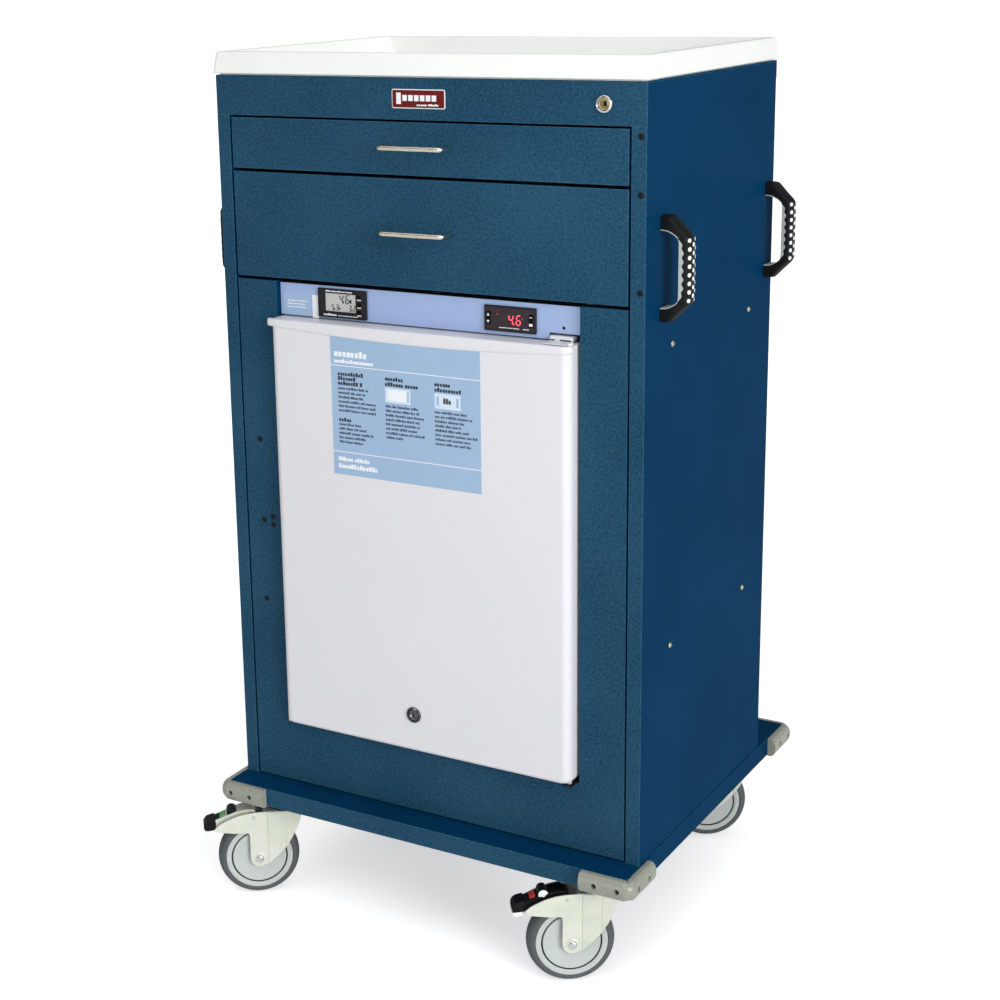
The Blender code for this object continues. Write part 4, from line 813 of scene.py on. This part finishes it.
def door_gasket():
    """Hollow frame between the door and the case, round the liner."""
    liner_low, liner_high = box("fridge_door_liner")
    back = DOOR_HIGH.y
    outer = rounded_rectangle(DOOR_HALF[0] - 3, DOOR_HALF[1] - 2.5, 8, 6, DOOR_CENTRE)
    middle = ((liner_low.x + liner_high.x) / 2, (liner_low.z + liner_high.z) / 2)
    inner_x, inner_z = liner_high.x - middle[0] + 0.8, liner_high.z - middle[1] + 0.8
    inner = rounded_rectangle(inner_x, inner_z, 4, 6, middle)
    gap_y = CASE_FACE - 0.2
    bm = bmesh.new()
    made = []
    for share, y in ((0, back + 0.1), (0, back + 1.8), (0.15, back + 3), (0.1, back + 4.2), (0.3, gap_y),
                     (0.7, gap_y), (0.9, back + 4.2), (0.85, back + 3), (1, back + 1.8), (1, back + 0.1)):
        points = [(a + (c - a) * share, y, b + (d - b) * share) for (a, b), (c, d) in zip(outer, inner)]
        made.append([bm.verts.new(point) for point in points])
    for first, second in zip(made, made[1:] + made[:1]):
        bridge(bm, first, second)
    Shape().add(bm).piece("door_gasket", "gasket", "fridge_white", body="fridge_door")


def case():
    """The refrigerator's case, black on top as painted shade above the strip, with a black and narrower lower
    hinge bracket.
    """
    old_left, new_left = 215, 222  # the bracket's left end lies left of the first, and moves to the second
    bm = copy_of("fridge_case")
    for vert in bm.verts:
        if vert.co.y < CASE_FACE - 1 and vert.co.z < DOOR_LOW.z and vert.co.x < old_left:
            vert.co.x = new_left
    shape = Shape().add(bm)
    for face in shape.bm.faces:
        middle = face.calc_center_median()
        if middle.y < CASE_FACE - 1 and middle.z < DOOR_LOW.z:
            face.material_index = 1
        # painted shade: the top faces, seen in the gap between the strip and the drawer, are black
        elif middle.z > STRIP_HIGH.z - 0.5:
            face.material_index = 1
    bracket_z = DOOR_LOW.z - 2.3
    shape.add(slab((234, -260.2, bracket_z), (235.4, CASE_FACE - 1, bracket_z + 2)), 1)
    shape.piece("case_shell", "liner black", "liner_white", ["fridge_case"])


def blank_text(rng, x, z, width, height, letter, word=(3, 8)):
    """Boxes (x0, x1, z0, z1) that stand for a line of lettering whose middle is at z."""
    boxes = []
    at = 0
    while at < width - letter:
        count = min(rng.randint(*word), max(1, round((width - at) / letter)))
        for k in range(count):
            start = x + at + k * letter
            tall = height * rng.choice((0.72, 0.72, 0.72, 1))
            wide = letter * rng.choice((0.74, 0.8, 0.86))
            boxes.append((start, start + wide, z - height / 2, z - height / 2 + tall))
        at += (count + 0.6) * letter
    return boxes


def marks(boxes, front, back):
    """Thin blocks for printed marks, one per box."""
    bm = bmesh.new()
    for x0, x1, z0, z1 in boxes:
        merge(bm, slab((x0, front, z0), (x1, back, z1)))
    return bm


def door_label():
    """Instruction label whose lettering is replaced by blank marks."""
    left, right, bottom, top = -136, 102.4, 693.6, 892.5
    face = DOOR_LOW.y - 0.3
    shape = Shape()
    middle = ((left + right) / 2, (top + bottom) / 2)
    outline = rounded_rectangle((right - left) / 2, (top - bottom) / 2, 0.8, 3, middle)
    shape.add(prism(outline, face, face + 0.5, "Y"), 0)
    rng = random.Random(7)

    def block(u0, u1, v, height, slot, layer=1):
        """A flat block: u runs right from the label's left edge, v down to the block's middle."""
        box = (left + u0, left + u1, top - v - height / 2, top - v + height / 2)
        shape.add(marks([box], face - 0.09 * layer, face + 0.1), slot)

    def text(lines, height, letter, slot, word=(3, 8)):
        boxes = []
        for u, v, width in lines:
            boxes += blank_text(rng, left + u, top - v, width, height, letter, word)
        shape.add(marks(boxes, face - 0.09, face + 0.1), slot)

    text([(6, 23.5, 58)], 9.5, 6.8, 2, (8, 8))
    text([(6, 34.5, 68)], 5.6, 4.3, 2, (15, 15))
    for v in (41, 165.4):
        block(0, right - left, v, 1, 2)
    text([(8.5, 175.8, 54)], 5.8, 4.1, 2, (4, 6))
    text([(8.5, 186, 70)], 6.8, 5, 2, (13, 13))
    headings = [(11, 52.4, 47), (11, 59, 31), (11, 65.8, 42), (11, 118.4, 20)]
    headings += [(88.6, 52.4, 28), (88.6, 60, 53), (167.4, 52.4, 27), (167.4, 60, 46)]
    text(headings, 5.6, 4.2, 3, (7, 12))
    columns = (
        (11, 73.2, (49, 44, 41, 61, 60, 61)),
        (11, 125, (39, 46, 57, 44, 42)),
        (88.6, 91.2, (52, 54, 63, 54, 55, 51, 63, 27)),
        (167.4, 91.2, (51, 58, 47, 41, 52, 65, 54, 57)),
    )
    small = [(u, first + 6.35 * k, width) for u, first, widths in columns for k, width in enumerate(widths)]
    text(small, 3.6, 2.4, 4)
    for u in (88.6, 167.4):
        block(u, u + 40.2, 75.6, 21, 5)
    block(93, 122.2, 75.2, 15.2, 2, 2)
    text([(104, 73.5, 12)], 6, 3, 5, (3, 3))
    block(124, 126.4, 75.2, 15, 0, 2)
    for u in (170.2, 201):
        block(u, u + 3.8, 75.6, 13, 0, 2)
    text([(181, 75, 12)], 8, 4.2, 0, (3, 3))
    shape.piece("door_label", "label label_pale label_white label_ink label_text label_pale", "strip_blue",
                body="fridge_door")


KEY_SIZE = (3.5, 9)  # half the width and height of a thermostat key
SEGMENTS = {  # seven-segment strokes: start and end in cells of a digit one wide and two tall
    "a": ((0, 2), (1, 2)), "b": ((1, 2), (1, 1)), "c": ((1, 1), (1, 0)), "d": ((0, 0), (1, 0)),
    "e": ((0, 1), (0, 0)), "f": ((0, 2), (0, 1)), "g": ((0, 1), (1, 1)),
}
DIGITS = {"2": "abged", "3": "abgcd", "4": "fgbc", "5": "afgcd", "6": "afgedc"}


def digits(shape, text, right, low, height, face, slot, stroke=0.17):
    """Slanted seven-segment figures that end at right; a point is a small square."""
    wide = height * 0.46
    x = right
    for mark in reversed(text):
        if mark == ".":
            x -= height * 0.1
            dot = height * stroke * 0.6
            point = slab((x - dot, face - 0.1, low - dot * 0.2), (x + dot, face + 0.2, low + dot * 1.8))
            shape.add(point, slot)
            x -= height * 0.14
            continue
        for name in DIGITS[mark]:
            (ax, az), (bx, bz) = SEGMENTS[name]
            start = Vector((ax * wide, az * height / 2))
            end = Vector((bx * wide, bz * height / 2))
            along = (end - start).normalized()
            side = Vector((-along.y, along.x)) * height * stroke / 2
            start, end = start + along * height * 0.045, end - along * height * 0.045
            nib = along * height * stroke / 2
            points = [start, start + nib + side, end - nib + side, end, end - nib - side, start + nib - side]
            outline = [(x - wide + p.x + 0.1 * p.y, low + p.y) for p in points]
            shape.add(prism(outline, face - 0.1, face + 0.2, "Y"), slot)
        x -= wide + height * 0.2


def instrument_core(low, high, front):
    """The part of an instrument that reaches through the strip."""
    return slab((low.x + 4, front, low.z + 4), (high.x - 4, STRIP_HIGH.y - 4, high.z - 4))


def thermometer():
    """Alarm thermometer: bezel, grey display with figures, three membrane buttons and blank print."""
    low, high = box("alarm_thermometer")
    face = low.y
    shape = Shape(Matrix.Translation((low.x, 0, low.z)))
    body = slab((0, face, 0), (high.x - low.x, STRIP_LOW.y - CLEAR, high.z - low.z), 1.4, 3)
    left, right, bottom, top = 13, 63.5, 9.5, 35
    shape.add(carve(body, slab((left, face - 10, bottom), (right, face + 1.4, top))))
    shape.add(instrument_core(low, high, STRIP_LOW.y - 2), 0, shape.matrix.inverted())
    screen = face + 0.9
    shape.add(slab((left, screen, bottom), (right, face + 1.8, top)), 1)
    digits(shape, "4.6", 51.5, 21.8, 11.2, screen, 2)
    digits(shape, "5.3", 33.5, 11.5, 7.6, screen, 2, 0.2)
    digits(shape, "3.2", 61.8, 11.5, 7.6, screen, 2, 0.2)
    units = ((53.2, 56.2, 22.2, 27.4), (35, 37.2, 12, 15.4))
    shape.add(marks(units, screen - 0.1, screen + 0.2), 2)
    white = []
    for z in (32.5, 21.5, 10.5):
        button = prism(rounded_rectangle(3.1, 2.6, 0.9, 4, (69, z)), face - 0.4, face + 1, "Y", 0.3, 1)
        shape.add(button, 3)
        white.append((66.2, 72.5, z - 5, z - 3.7))
    rng = random.Random(11)
    white += blank_text(rng, 14, 38, 46, 2, 1.5)
    white += blank_text(rng, 10, 4.5, 22, 3, 2.4, (9, 9))
    white += blank_text(rng, 34, 4, 34, 1.4, 1.4)
    shape.add(marks(white, face - 0.1, face + 0.2), 4)
    shape.piece("thermometer_head", "bezel lcd lcd_ink key label_white", "black_plastic",
                ["alarm_thermometer"])


def thermostat():
    """Controller with red figures, and its two rocker keys."""
    low, high = box("thermostat")
    face = low.y
    keys = ("thermostat_arrow_key", "thermostat_set_key")
    spot = ((low.x + high.x) / 2, (low.z + high.z) / 2)
    pane = rounded_rectangle((high.x - low.x) / 2 - 2.6, (high.z - low.z) / 2 - 2.6, 1, 4, spot)
    shape = Shape()
    bezel = slab((low.x, face, low.z), (high.x, STRIP_LOW.y - CLEAR, high.z), 1.3, 3)
    shape.add(carve_keys(bezel, keys, face, 0.4))
    shape.add(instrument_core(low, high, STRIP_LOW.y - 1.2))
    shape.add(carve_keys(prism(pane, face - 0.12, face + 0.2, "Y"), keys, face, 0.6), 1)
    digits(shape, "4.6", high.x - 23.5, low.z + 10.5, 12.8, face - 0.2, 2, 0.12)
    for x, z in ((low.x + 20.7, low.z + 23.6), (high.x - 20, low.z + 19.6)):
        shape.add(dome(0.6, 0.3, 12, 2), 2, aim((x, face - 0.1, z), FORWARD))
    rng = random.Random(5)
    white = blank_text(rng, low.x + 23, low.z + 5.8, 30, 1.4, 1.5)
    white += blank_text(rng, low.x + 59, low.z + 5.8, 10, 1.6, 1.8, (5, 5))
    shape.add(marks(white, face - 0.3, face + 0.1), 3)
    shape.piece("thermostat_head", "bezel window led label_white", "black_plastic", ["thermostat"])
    for name in keys:
        key_low, key_high = box(name)
        x, z = (key_low.x + key_high.x) / 2, (key_low.z + key_high.z) / 2
        half_x, half_z = KEY_SIZE
        key = Shape().add(prism(key_outline(name), key_low.y, key_high.y, "Y", 0.4, 2))
        for sign in (1, -1):
            tip, base = z + sign * half_z * 0.78, z + sign * half_z * 0.34
            if name == keys[0]:
                outline = [(x - half_x * 0.6, base), (x + half_x * 0.6, base), (x, tip)]
            elif sign > 0:
                outline = rounded_rectangle(half_x * 0.5, 0.5, 0.2, 2, (x, (tip + base) / 2))
            else:
                outline = rounded_rectangle(half_x * 0.72, 1.8, 0.6, 3, (x, (tip + base) / 2))
            key.add(prism(outline, key_low.y - 0.1, key_low.y + 0.4, "Y"), 1)
        key.piece(f"{name}_cap", "key label_white", "key_grey", [name], name)


def key_outline(name, gap=0):
    """A rocker key seen from the front: a pill shape with the given gap round it."""
    low, high = box(name)
    spot = ((low.x + high.x) / 2, (low.z + high.z) / 2)
    return pill(KEY_SIZE[0] + gap, KEY_SIZE[1] + gap, spot)


def carve_keys(bm, keys, face, gap):
    """bm with an opening round each rocker key."""
    for name in keys:
        bm = carve(bm, prism(key_outline(name, gap), face - 5, face + 3.2, "Y"))
    return bm


def pill(half_x, half_z, centre):
    """Two round ends with a waist, like a figure 8 filled in."""
    points = []
    radius = half_x
    offset = half_z - radius
    for sign, start in ((1, -40), (-1, 140)):
        points += arc((centre[0], centre[1] + sign * offset), radius, start, start + 260, 14)
    return points


def control_strip():
    """Control strip with its small labels, a black strip above it as painted shadow, and the test hole's
    plug.
    """
    softened("fridge_control_panel", "cabinet", "strip", 0.8, "strip_blue")
    face = STRIP_LOW.y
    base = STRIP_LOW.z
    labels = Shape()
    left = -233
    labels.add(marks([(left, left + 45.5, base + 0.5, base + 31)], face - 0.2, face + 0.1), 0)
    bar = (left + 49, left + 59.2, base - 1, base + 31.5)
    labels.add(marks([bar], face - 0.4, face + 0.1), 1)
    rng = random.Random(3)
    lines = []
    for k in range(3):
        lines += blank_text(rng, left + 6, base + 21.5 - 4.5 * k, 34 - 3 * (k == 1), 1.8, 1.5)
    labels.add(marks(lines, face - 0.3, face), 1)
    # painted shadow: a thin black strip fills the gap between the strip and the drawer above it
    gap_shadow_z = STRIP_HIGH.z + 0.1
    gap_shadow_strip = slab((STRIP_LOW.x + 1, face + 0.4, gap_shadow_z), (STRIP_HIGH.x - 1, face + 8, gap_shadow_z + 1.1), 0.3)
    labels.add(gap_shadow_strip, 2)
    labels.piece("strip_labels", "label label_white gap", "strip_blue")
    hole = Shape(aim((211.5, face, base + 16.8), FORWARD))
    hole.add(dome(2.3, 0.3, 14, 2))
    hole.piece("strip_plug", "black", "black_plastic")


def hinge_cover():
    """White cover of the upper hinge in front of its black plate, and the pin down into the door. The plate's
    rim round the cover is painted shade for the gap there.
    """
    low, high = box("fridge_top_hinge")
    pin = joint_at("fridge_door_hinge")
    base, top = DOOR_HIGH.z + 0.9, high.z - 0.4
    cover_end = 226.2
    hinge = Shape()
    cover_y = STRIP_LOW.y - 5.2
    hinge.add(slab((low.x + 1.2, low.y, base), (cover_end, cover_y + 4, base + 1.4), 0.5))
    hinge.add(slab((low.x + 0.4, cover_y, base + 0.8), (cover_end, high.y - 3.2, top), 1.2, 3))
    # black plate; where it shows round the cover it is painted shade for the gap
    hinge.add(slab((low.x - 1.8, high.y - 4, base - 0.4), (high.x + 1.2, high.y, high.z + 2.2)), 1)
    dashes = [(low.x + 1.8, low.x + 8.4, base + 1.6, base + 3), (208.5, 224.5, base + 1.6, base + 3)]
    hinge.add(marks(dashes, cover_y - 0.3, cover_y + 1.5), 1)
    drop = low.z - base
    profile = ((0, drop), (2.9, drop), (2.9, 0.2), (4.8, 0.2), (4.8, 3), (0, 3))
    hinge.add(turned(profile, 28), 0, Matrix.Translation((pin.x, pin.y, base)))
    hinge.piece("hinge_cover", "fridge black", "white_plastic", ["fridge_top_hinge"])


def compressor():
    low, high = box("fridge_compressor")
    centre = Vector(((low.x + high.x) / 2, (low.y + high.y) / 2, low.z))
    shape = Shape(Matrix.Translation(centre))
    shape.add(slab((-85, -50, 0), (85, 50, 3), 1))
    radius, top, arch = 46, high.z - low.z, 30
    crown = [(radius * cos(a), top - arch + arch * sin(a)) for a in quarter(9)]
    rim = radius + 2.2
    wall = [(0, 2.6), (44, 2.6), (radius, 6), (radius, 34), (rim, 35), (rim, 38), (radius, 39)]
    shape.add(turned(wall + crown[:-1] + [(0, top)], 56))
    shape.piece("compressor_can", "enamel", "compressor_black", ["fridge_compressor"])


def refrigerator():
    case()
    door()
    door_lock()
    door_gasket()
    door_label()
    control_strip()
    hinge_cover()
    thermometer()
    thermostat()
    compressor()
    softened("fridge_door_liner", "fridge_door", "liner", 1.2, "liner_white")


# ---- casters ----


def caster_frame(name):
    """Local X runs from the kingpin to the wheel, local Y along the axle, and Z is up from the floor."""
    swivel = joint_at(f"{name}_swivel")
    wheel = joint_at(f"{name}_roll")
    angle = atan2(wheel.y - swivel.y, wheel.x - swivel.x)
    trail = (wheel.xy - swivel.xy).length
    return Matrix.Translation((swivel.x, swivel.y, 0)) @ Matrix.Rotation(angle, 4, "Z"), trail, wheel.z


def clipped(outline, low, high):
    """The part of an outline between two upright lines."""
    for limit, keep in ((low, lambda x, k: x >= k), (high, lambda x, k: x <= k)):
        result = []
        for (ax, az), (bx, bz) in zip(outline, outline[1:] + outline[:1]):
            if keep(ax, limit):
                result.append((ax, az))
            if keep(ax, limit) != keep(bx, limit):
                share = (limit - ax) / (bx - ax)
                result.append((limit, az + (bz - az) * share))
        outline = result
    return outline


def inset_outline(outline, amount):
    """The outline moved inwards by the amount; it runs anticlockwise."""
    points = [Vector(p) for p in outline]
    moved = []
    for before, point, after in zip(points[-1:] + points[:-1], points, points[1:] + points[:1]):
        first, second = (point - before).normalized(), (after - point).normalized()
        normal = Vector((-first.y - second.y, first.x + second.x))
        scale = max(0.5, 1 + first.dot(second))
        moved.append(tuple(point + normal * amount / scale))
    return moved


def cheek_outline(trail, height, braked):
    """Side view of a fork: the cheeks under a brake pedal reach out below it."""
    points = [(-24.5, 129), (-21.5, 119), (-16.5, 106.5), (-9, 91.5), (2, 75.5), (13, 64), (25, 54)]
    points += arc((trail, height), 14, 232, 360, 12)
    points += [(trail + 14, 99)]
    if braked:
        points += arc((trail + 18, 101.5), 4, 180, 90, 4)
        points += [(78, 106.6), (93, 108.8), (104, 110.8), (108, 113.8), (107.8, 117)]
        points += [(100, 123.6), (88, 129.6), (76, 134), (65, 137)]
    else:
        points += [(trail + 14, 120), (trail + 12.5, 130)]
    points += [(52, 138.6), (38, 139.2), (25.5, 139.5), (2, 139.2)]
    return points


def fork(name, braked):
    """Pressed fork: cheeks with a raised panel, crown, axle bolt with washers, and the pedal's rivet."""
    place, trail, height = caster_frame(name)
    shape = Shape(place)
    outline = cheek_outline(trail, height, braked)
    inner, sheet = 19.5, 2.5
    for side in (-1, 1):
        near, far = sorted((side * inner, side * (inner + sheet)))
        shape.add(prism(outline, near, far, "Y", 0.7, 2))
        pad = prism(inset_outline(clipped(outline, 6, 28.5), 1), -1, 1.2, "Y", 0.7, 3)
        for vert in pad.verts:
            rise = 0.045 * max(0, 28.5 - vert.co.x) * (vert.co.y > 0)
            vert.co.y = side * (inner + sheet + vert.co.y + rise)
        shape.add(pad)
        rib = prism(inset_outline(clipped(outline, -12, 1), 1.6), -1, 0.9, "Y", 0.8, 3)
        for vert in rib.verts:
            vert.co.y = side * (inner + sheet + vert.co.y)
        shape.add(rib)
        axle = aim((trail, side * (inner + sheet), height), (0, side, 0))
        shape.add(turned(((0, -1), (8.6, -1), (8.6, 0.6), (8, 1), (0, 1)), 28), 0, axle)
        shape.add(turned(((0, 0), (6.2, 0), (6.3, 2), (5.5, 3.6), (3.6, 4.4), (0, 4.6)), 24), 1, axle)
        if braked:
            pivot = joint_at(f"{name}_brake")
            local = place.inverted() @ pivot
            rivet = aim((local.x, side * (inner + sheet), local.z), (0, side, 0))
            profile = ((0, -4), (3.2, -4), (3.2, 0.6), (2.8, 1.2), (1.6, 1.2), (1.2, 0.6), (0, 0.6))
            shape.add(turned(profile, 24), 1, rivet)
    crown_low, crown_high = 136, 139.3
    outer = inner + sheet
    crown = rounded_rectangle(28, outer + 0.6, 4, 4, (5.5, 0))
    shape.add(prism(crown, crown_low - 2.2, crown_high + 0.4, "Z", 2, 3))
    dish = ((6.3, 0), (20.5, 0), (24.5, 0.8), (25.8, 2.5), (26.2, 4), (22.5, 4), (6.3, 4))
    shape.add(turned(dish, 48), 0, Matrix.Translation((0, 0, crown_low - 0.4)))
    bolt = turned(((0, -inner), (4, -inner), (4, inner), (0, inner)), 20)
    shape.add(bolt, 1, aim((trail, 0, height), (0, 1, 0)))
    shape.piece(f"fork_{name}", "zinc chrome", "zinc", [f"caster_fork_{name}"], f"swivel_{name}")


def wheel(name):
    """Grey tread with rounded shoulders on a two-part wheel centre."""
    place, trail, height = caster_frame(name)
    across = Matrix.Translation((trail, 0, height)) @ Matrix.Rotation(pi / 2, 4, "X")
    steps = 96
    rim, tread, half = 52.8, height, 15
    shoulder = []
    for a in quarter(12):
        shoulder.append((rim + (tread - rim) * cos(a) ** 0.85, half * sin(a) ** 0.95))
    shoulder.append((rim - 0.8, half - 0.4))
    outer = shoulder + [(rim - 1.2, 0)] + mirrored(shoulder)[len(shoulder):]
    tyre = Shape(place)
    tyre.add(turned(outer, steps), 0, across)
    tyre.piece(f"tread_{name}", "tyre", "tyre_grey", [f"tyre_{name}"], f"wheel_{name}")
    hub = Shape(place)
    groove = 42
    face = [(rim - 1.4, 0), (rim - 1.4, 14.6), (rim - 2.2, 15.5), (48, 15.8), (groove + 2, 15.3),
            (groove + 1.3, 14.6), (groove + 1.2, 10)]
    hub.add(turned(mirrored(face), steps), 1, across)
    dark = [(groove + 1.5, 0), (groove + 1.5, 13.2), (groove - 1.2, 13.2)]
    hub.add(turned(mirrored(dark), steps), 2, across)
    disc = [(groove - 0.8, 0), (groove - 0.8, 14), (groove - 1.6, 14.9), (37, 14.6), (26, 13.4), (16.5, 13.2),
            (13.5, 14.2), (12.2, 17.2), (11.2, 17.8), (4.3, 17.8)]
    hub.add(turned(mirrored(disc), steps), 0, across)
    hub.piece(f"wheel_centre_{name}", "wheel ring black", "wheel_grey", [f"hub_{name}"], f"wheel_{name}")


def plate_details(name):
    """Four bolts under the caster's top plate, and the two rings round its ball race."""
    low, high = box(f"caster_plate_{name}")
    centre = (low + high) / 2
    cap = Shape(Matrix.Translation((centre.x, centre.y, 0)))
    top = high.z - 4
    ring = ((26.2, top - 10), (28.5, top - 9.2), (29.6, top - 6), (29, top - 0.6), (26.2, top - 0.2))
    cap.add(turned(ring, 48))
    cap.add(turned(((20.2, 140.8), (24, 141.1), (25.2, 144), (24, 146.2), (20.2, 146.2)), 48), 0)
    for sx in (-1, 1):
        for sy in (-1, 1):
            bolt = Matrix.Translation((sx * 40.5, sy * 33, top)) @ Matrix.Rotation(pi, 4, "X")
            cap.add(turned(((0, 0), (5.8, 0), (5.8, 3.4), (5, 4.2), (0, 4.2)), 6), 1, bolt)
    cap.piece(f"swivel_cap_{name}", "black brass", "black_plastic")


def pedal(name):
    """Brake lever: body with a rocker in its pocket, a round knob and a grip end."""
    place, _, _ = caster_frame(name)
    metal = name == "front_left"
    shape = Shape(place)
    top = [(60, 141.2), (76, 138), (90, 133), (100, 129.2), (110, 125.2)]
    lower = [(110, 112), (101, 113.5), (88, 119.5), (76, 124), (66, 126.8), (54, 126.2)]
    start = [(44, 129), (45, 137.5), (50, 140.8)]
    body = prism(start + top + lower, -12.8, 12.8, "Y", 1.4, 3)
    pocket = prism([(90.5, 126.5), (106.5, 120), (109.5, 134), (92.5, 140)], -8.8, 8.8, "Y")
    shape.add(carve(body, pocket), 0)
    rocker = [(91, 124), (99, 121.5), (100, 131.2), (96.5, 131.8), (91.8, 134.8)]
    shape.add(prism(rocker, -8, 8, "Y", 1, 2), 1)
    catch = [(99.5, 121), (106.2, 118.5), (107.2, 127.8), (100.5, 130.5)]
    shape.add(prism(catch, -8, 8, "Y", 0.8, 2), 2)
    foot = 109.5 if metal else 110.5
    grip = [(106, foot + 1.5), (118, foot), (123.6, foot + 0.8), (124.6, 115), (123.2, 122.2), (119, 125.8),
            (108.5, 128.8), (105, 125)]
    shape.add(prism(grip, -13.6, 13.6, "Y", 2.2, 3), 2)
    for k in range(4):
        rib = slab((123.4, -10 + 5.6 * k, 114), (124.8, -6.8 + 5.6 * k, 121), 0.4, 1)
        shape.add(rib, 2)
    knob = ((0, -11), (6.2, -11), (7.4, -10), (7.8, -8), (7.8, 8), (7.4, 10), (6.2, 11), (0, 11))
    shape.add(turned(knob, 32), 2, aim((81, 0, 136), (0, 1, 0)))
    if not metal:
        for side in (-1, 1):
            dial = turned(((0, 0), (6.8, 0), (7, 1), (6, 1.8), (0, 2.2)), 28)
            shape.add(dial, 3, aim((81, side * 10.8, 136), (0, side, 0)))
        sill = [(107, 107.5), (121.5, 105.2), (124.5, 107), (124.8, 111.8), (107.6, 113.2)]
        shape.add(prism(sill, -13.8, 13.8, "Y", 1, 2), 3)
    names = "zinc green black dot" if metal else "black red black dot"
    shape.piece(f"pedal_{name}_lever", names, "black_plastic", [f"brake_pedal_{name}"], f"pedal_{name}")


def casters():
    for name in CASTERS:
        braked = f"brake_pedal_{name}" in frame["nodes"]
        fork(name, braked)
        wheel(name)
        plate_details(name)
        if braked:
            pedal(name)


# ---- carried-over nodes ----


def dress_nodes():
    """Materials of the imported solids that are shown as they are."""
    groups = {
        # painted shade: the back panel and the caster plates under the platform take the darker copy of the
        # paint
        "side_paint": ("back_panel", *(f"caster_plate_{name}" for name in CASTERS)),
        "galvanised": (*(f"{drawer}_drawer_box" for drawer in DRAWERS),
                       *(f"{side}_slide_rails" for side in SIDES),
                       *(f"{drawer}_slide_middle_{side}" for drawer in DRAWERS for side in SIDES)),
        "glass": ("fridge_shelf",),
    }
    for material, names in groups.items():
        for name in names:
            data = frame["nodes"][name].data
            data.materials.clear()
            data.materials.append(MATERIALS[material])


# ---- studio ----


def lamp(light, direction):
    """An object for the light, which shines in the direction."""
    obj = bpy.data.objects.new(light.name, light)
    bpy.context.scene.collection.objects.link(obj)
    obj.rotation_mode = "QUATERNION"
    obj.rotation_quaternion = Vector(direction).to_track_quat("-Z", "Y")
    return obj


def studio():
    """White floor, even white surroundings, and soft light from the front, the right and above."""
    bpy.ops.mesh.primitive_plane_add(size=400.0)
    floor = bpy.context.object
    floor.name = "studio_floor"
    fixed = {SHEEN: 0.1, "Emission Color": WHITE}
    white = surface("floor_white", (0.96, 0.96, 0.96), (0.98, 0.98, 0.98), (0.75, 0.85), 3.0, 0.01, fixed)
    # the floor glows for the camera only, so that it looks pale and still takes soft shadows
    tree = white.node_tree
    seen = add_node(tree, "LightPath", {}).outputs["Is Camera Ray"]
    lift = add_node(tree, "Math", {0: seen, 1: 0.53}, operation="MULTIPLY").outputs["Value"]
    feed(tree, tree.nodes[SHADER], {"Emission Strength": lift})
    floor.data.materials.append(white)

    world = bpy.data.worlds.new("studio")
    bpy.context.scene.world = world
    world.use_nodes = True
    tree = world.node_tree
    seen = add_node(tree, "LightPath", {}).outputs["Is Camera Ray"]
    around = feed(tree, tree.nodes["Background"], {"Color": WHITE, "Strength": 0.3}).outputs[0]
    behind = add_node(tree, "Background", {"Color": WHITE, "Strength": 1.05}).outputs[0]
    mix = add_node(tree, "MixShader", {0: seen, 1: around, 2: behind})
    feed(tree, tree.nodes["World Output"], {"Surface": mix.outputs[0]})

    # azimuth from the front towards the right, elevation, strength, angular size (degrees)
    suns = {
        "front": (-20.0, 6.0, 0.22, 16.0),
        "right": (66.0, 14.0, 1.85, 30.0),
        "above": (10.0, 76.0, 0.9, 70.0),
    }
    for name, (azimuth, elevation, strength, size) in suns.items():
        light = bpy.data.lights.new(f"sun_{name}", "SUN")
        light.energy = strength
        light.angle = radians(size)
        a, e = radians(azimuth), radians(elevation)
        lamp(light, (-sin(a) * cos(e), cos(a) * cos(e), -sin(e)))
    panel = bpy.data.lights.new("soft_panel", "AREA")
    panel.shape = "RECTANGLE"
    panel.size, panel.size_y = 0.9, 1.3
    panel.energy = 3.1
    soft = lamp(panel, (-0.45, 0.85, -0.1))
    soft.location = (0.66, -0.88, 1.12)
    soft.visible_camera = False
    bpy.context.scene.view_settings.view_transform = "Standard"


def camera():
    """Seen from the front right and a little above."""
    data = bpy.data.cameras.new("camera")
    data.lens = 66.95
    data.sensor_width = 36.0
    data.shift_x = 0.0987
    data.shift_y = -0.0597
    obj = bpy.data.objects.new("camera", data)
    bpy.context.scene.collection.objects.link(obj)
    right = Vector((0.85462, 0.51876, -0.02249))
    forward = Vector((-0.50687, 0.82407, -0.25297))
    up = right.cross(forward).normalized()
    rotation = Matrix((right, up, -forward)).transposed()
    obj.matrix_world = Matrix.Translation((1.2787, -2.3821, 1.4047)) @ rotation.to_4x4()
    bpy.context.scene.camera = obj


def main():
    cabinet()
    for name in DRAWERS:
        drawer(name)
    refrigerator()
    casters()
    dress_nodes()
    studio()
    camera()


main()
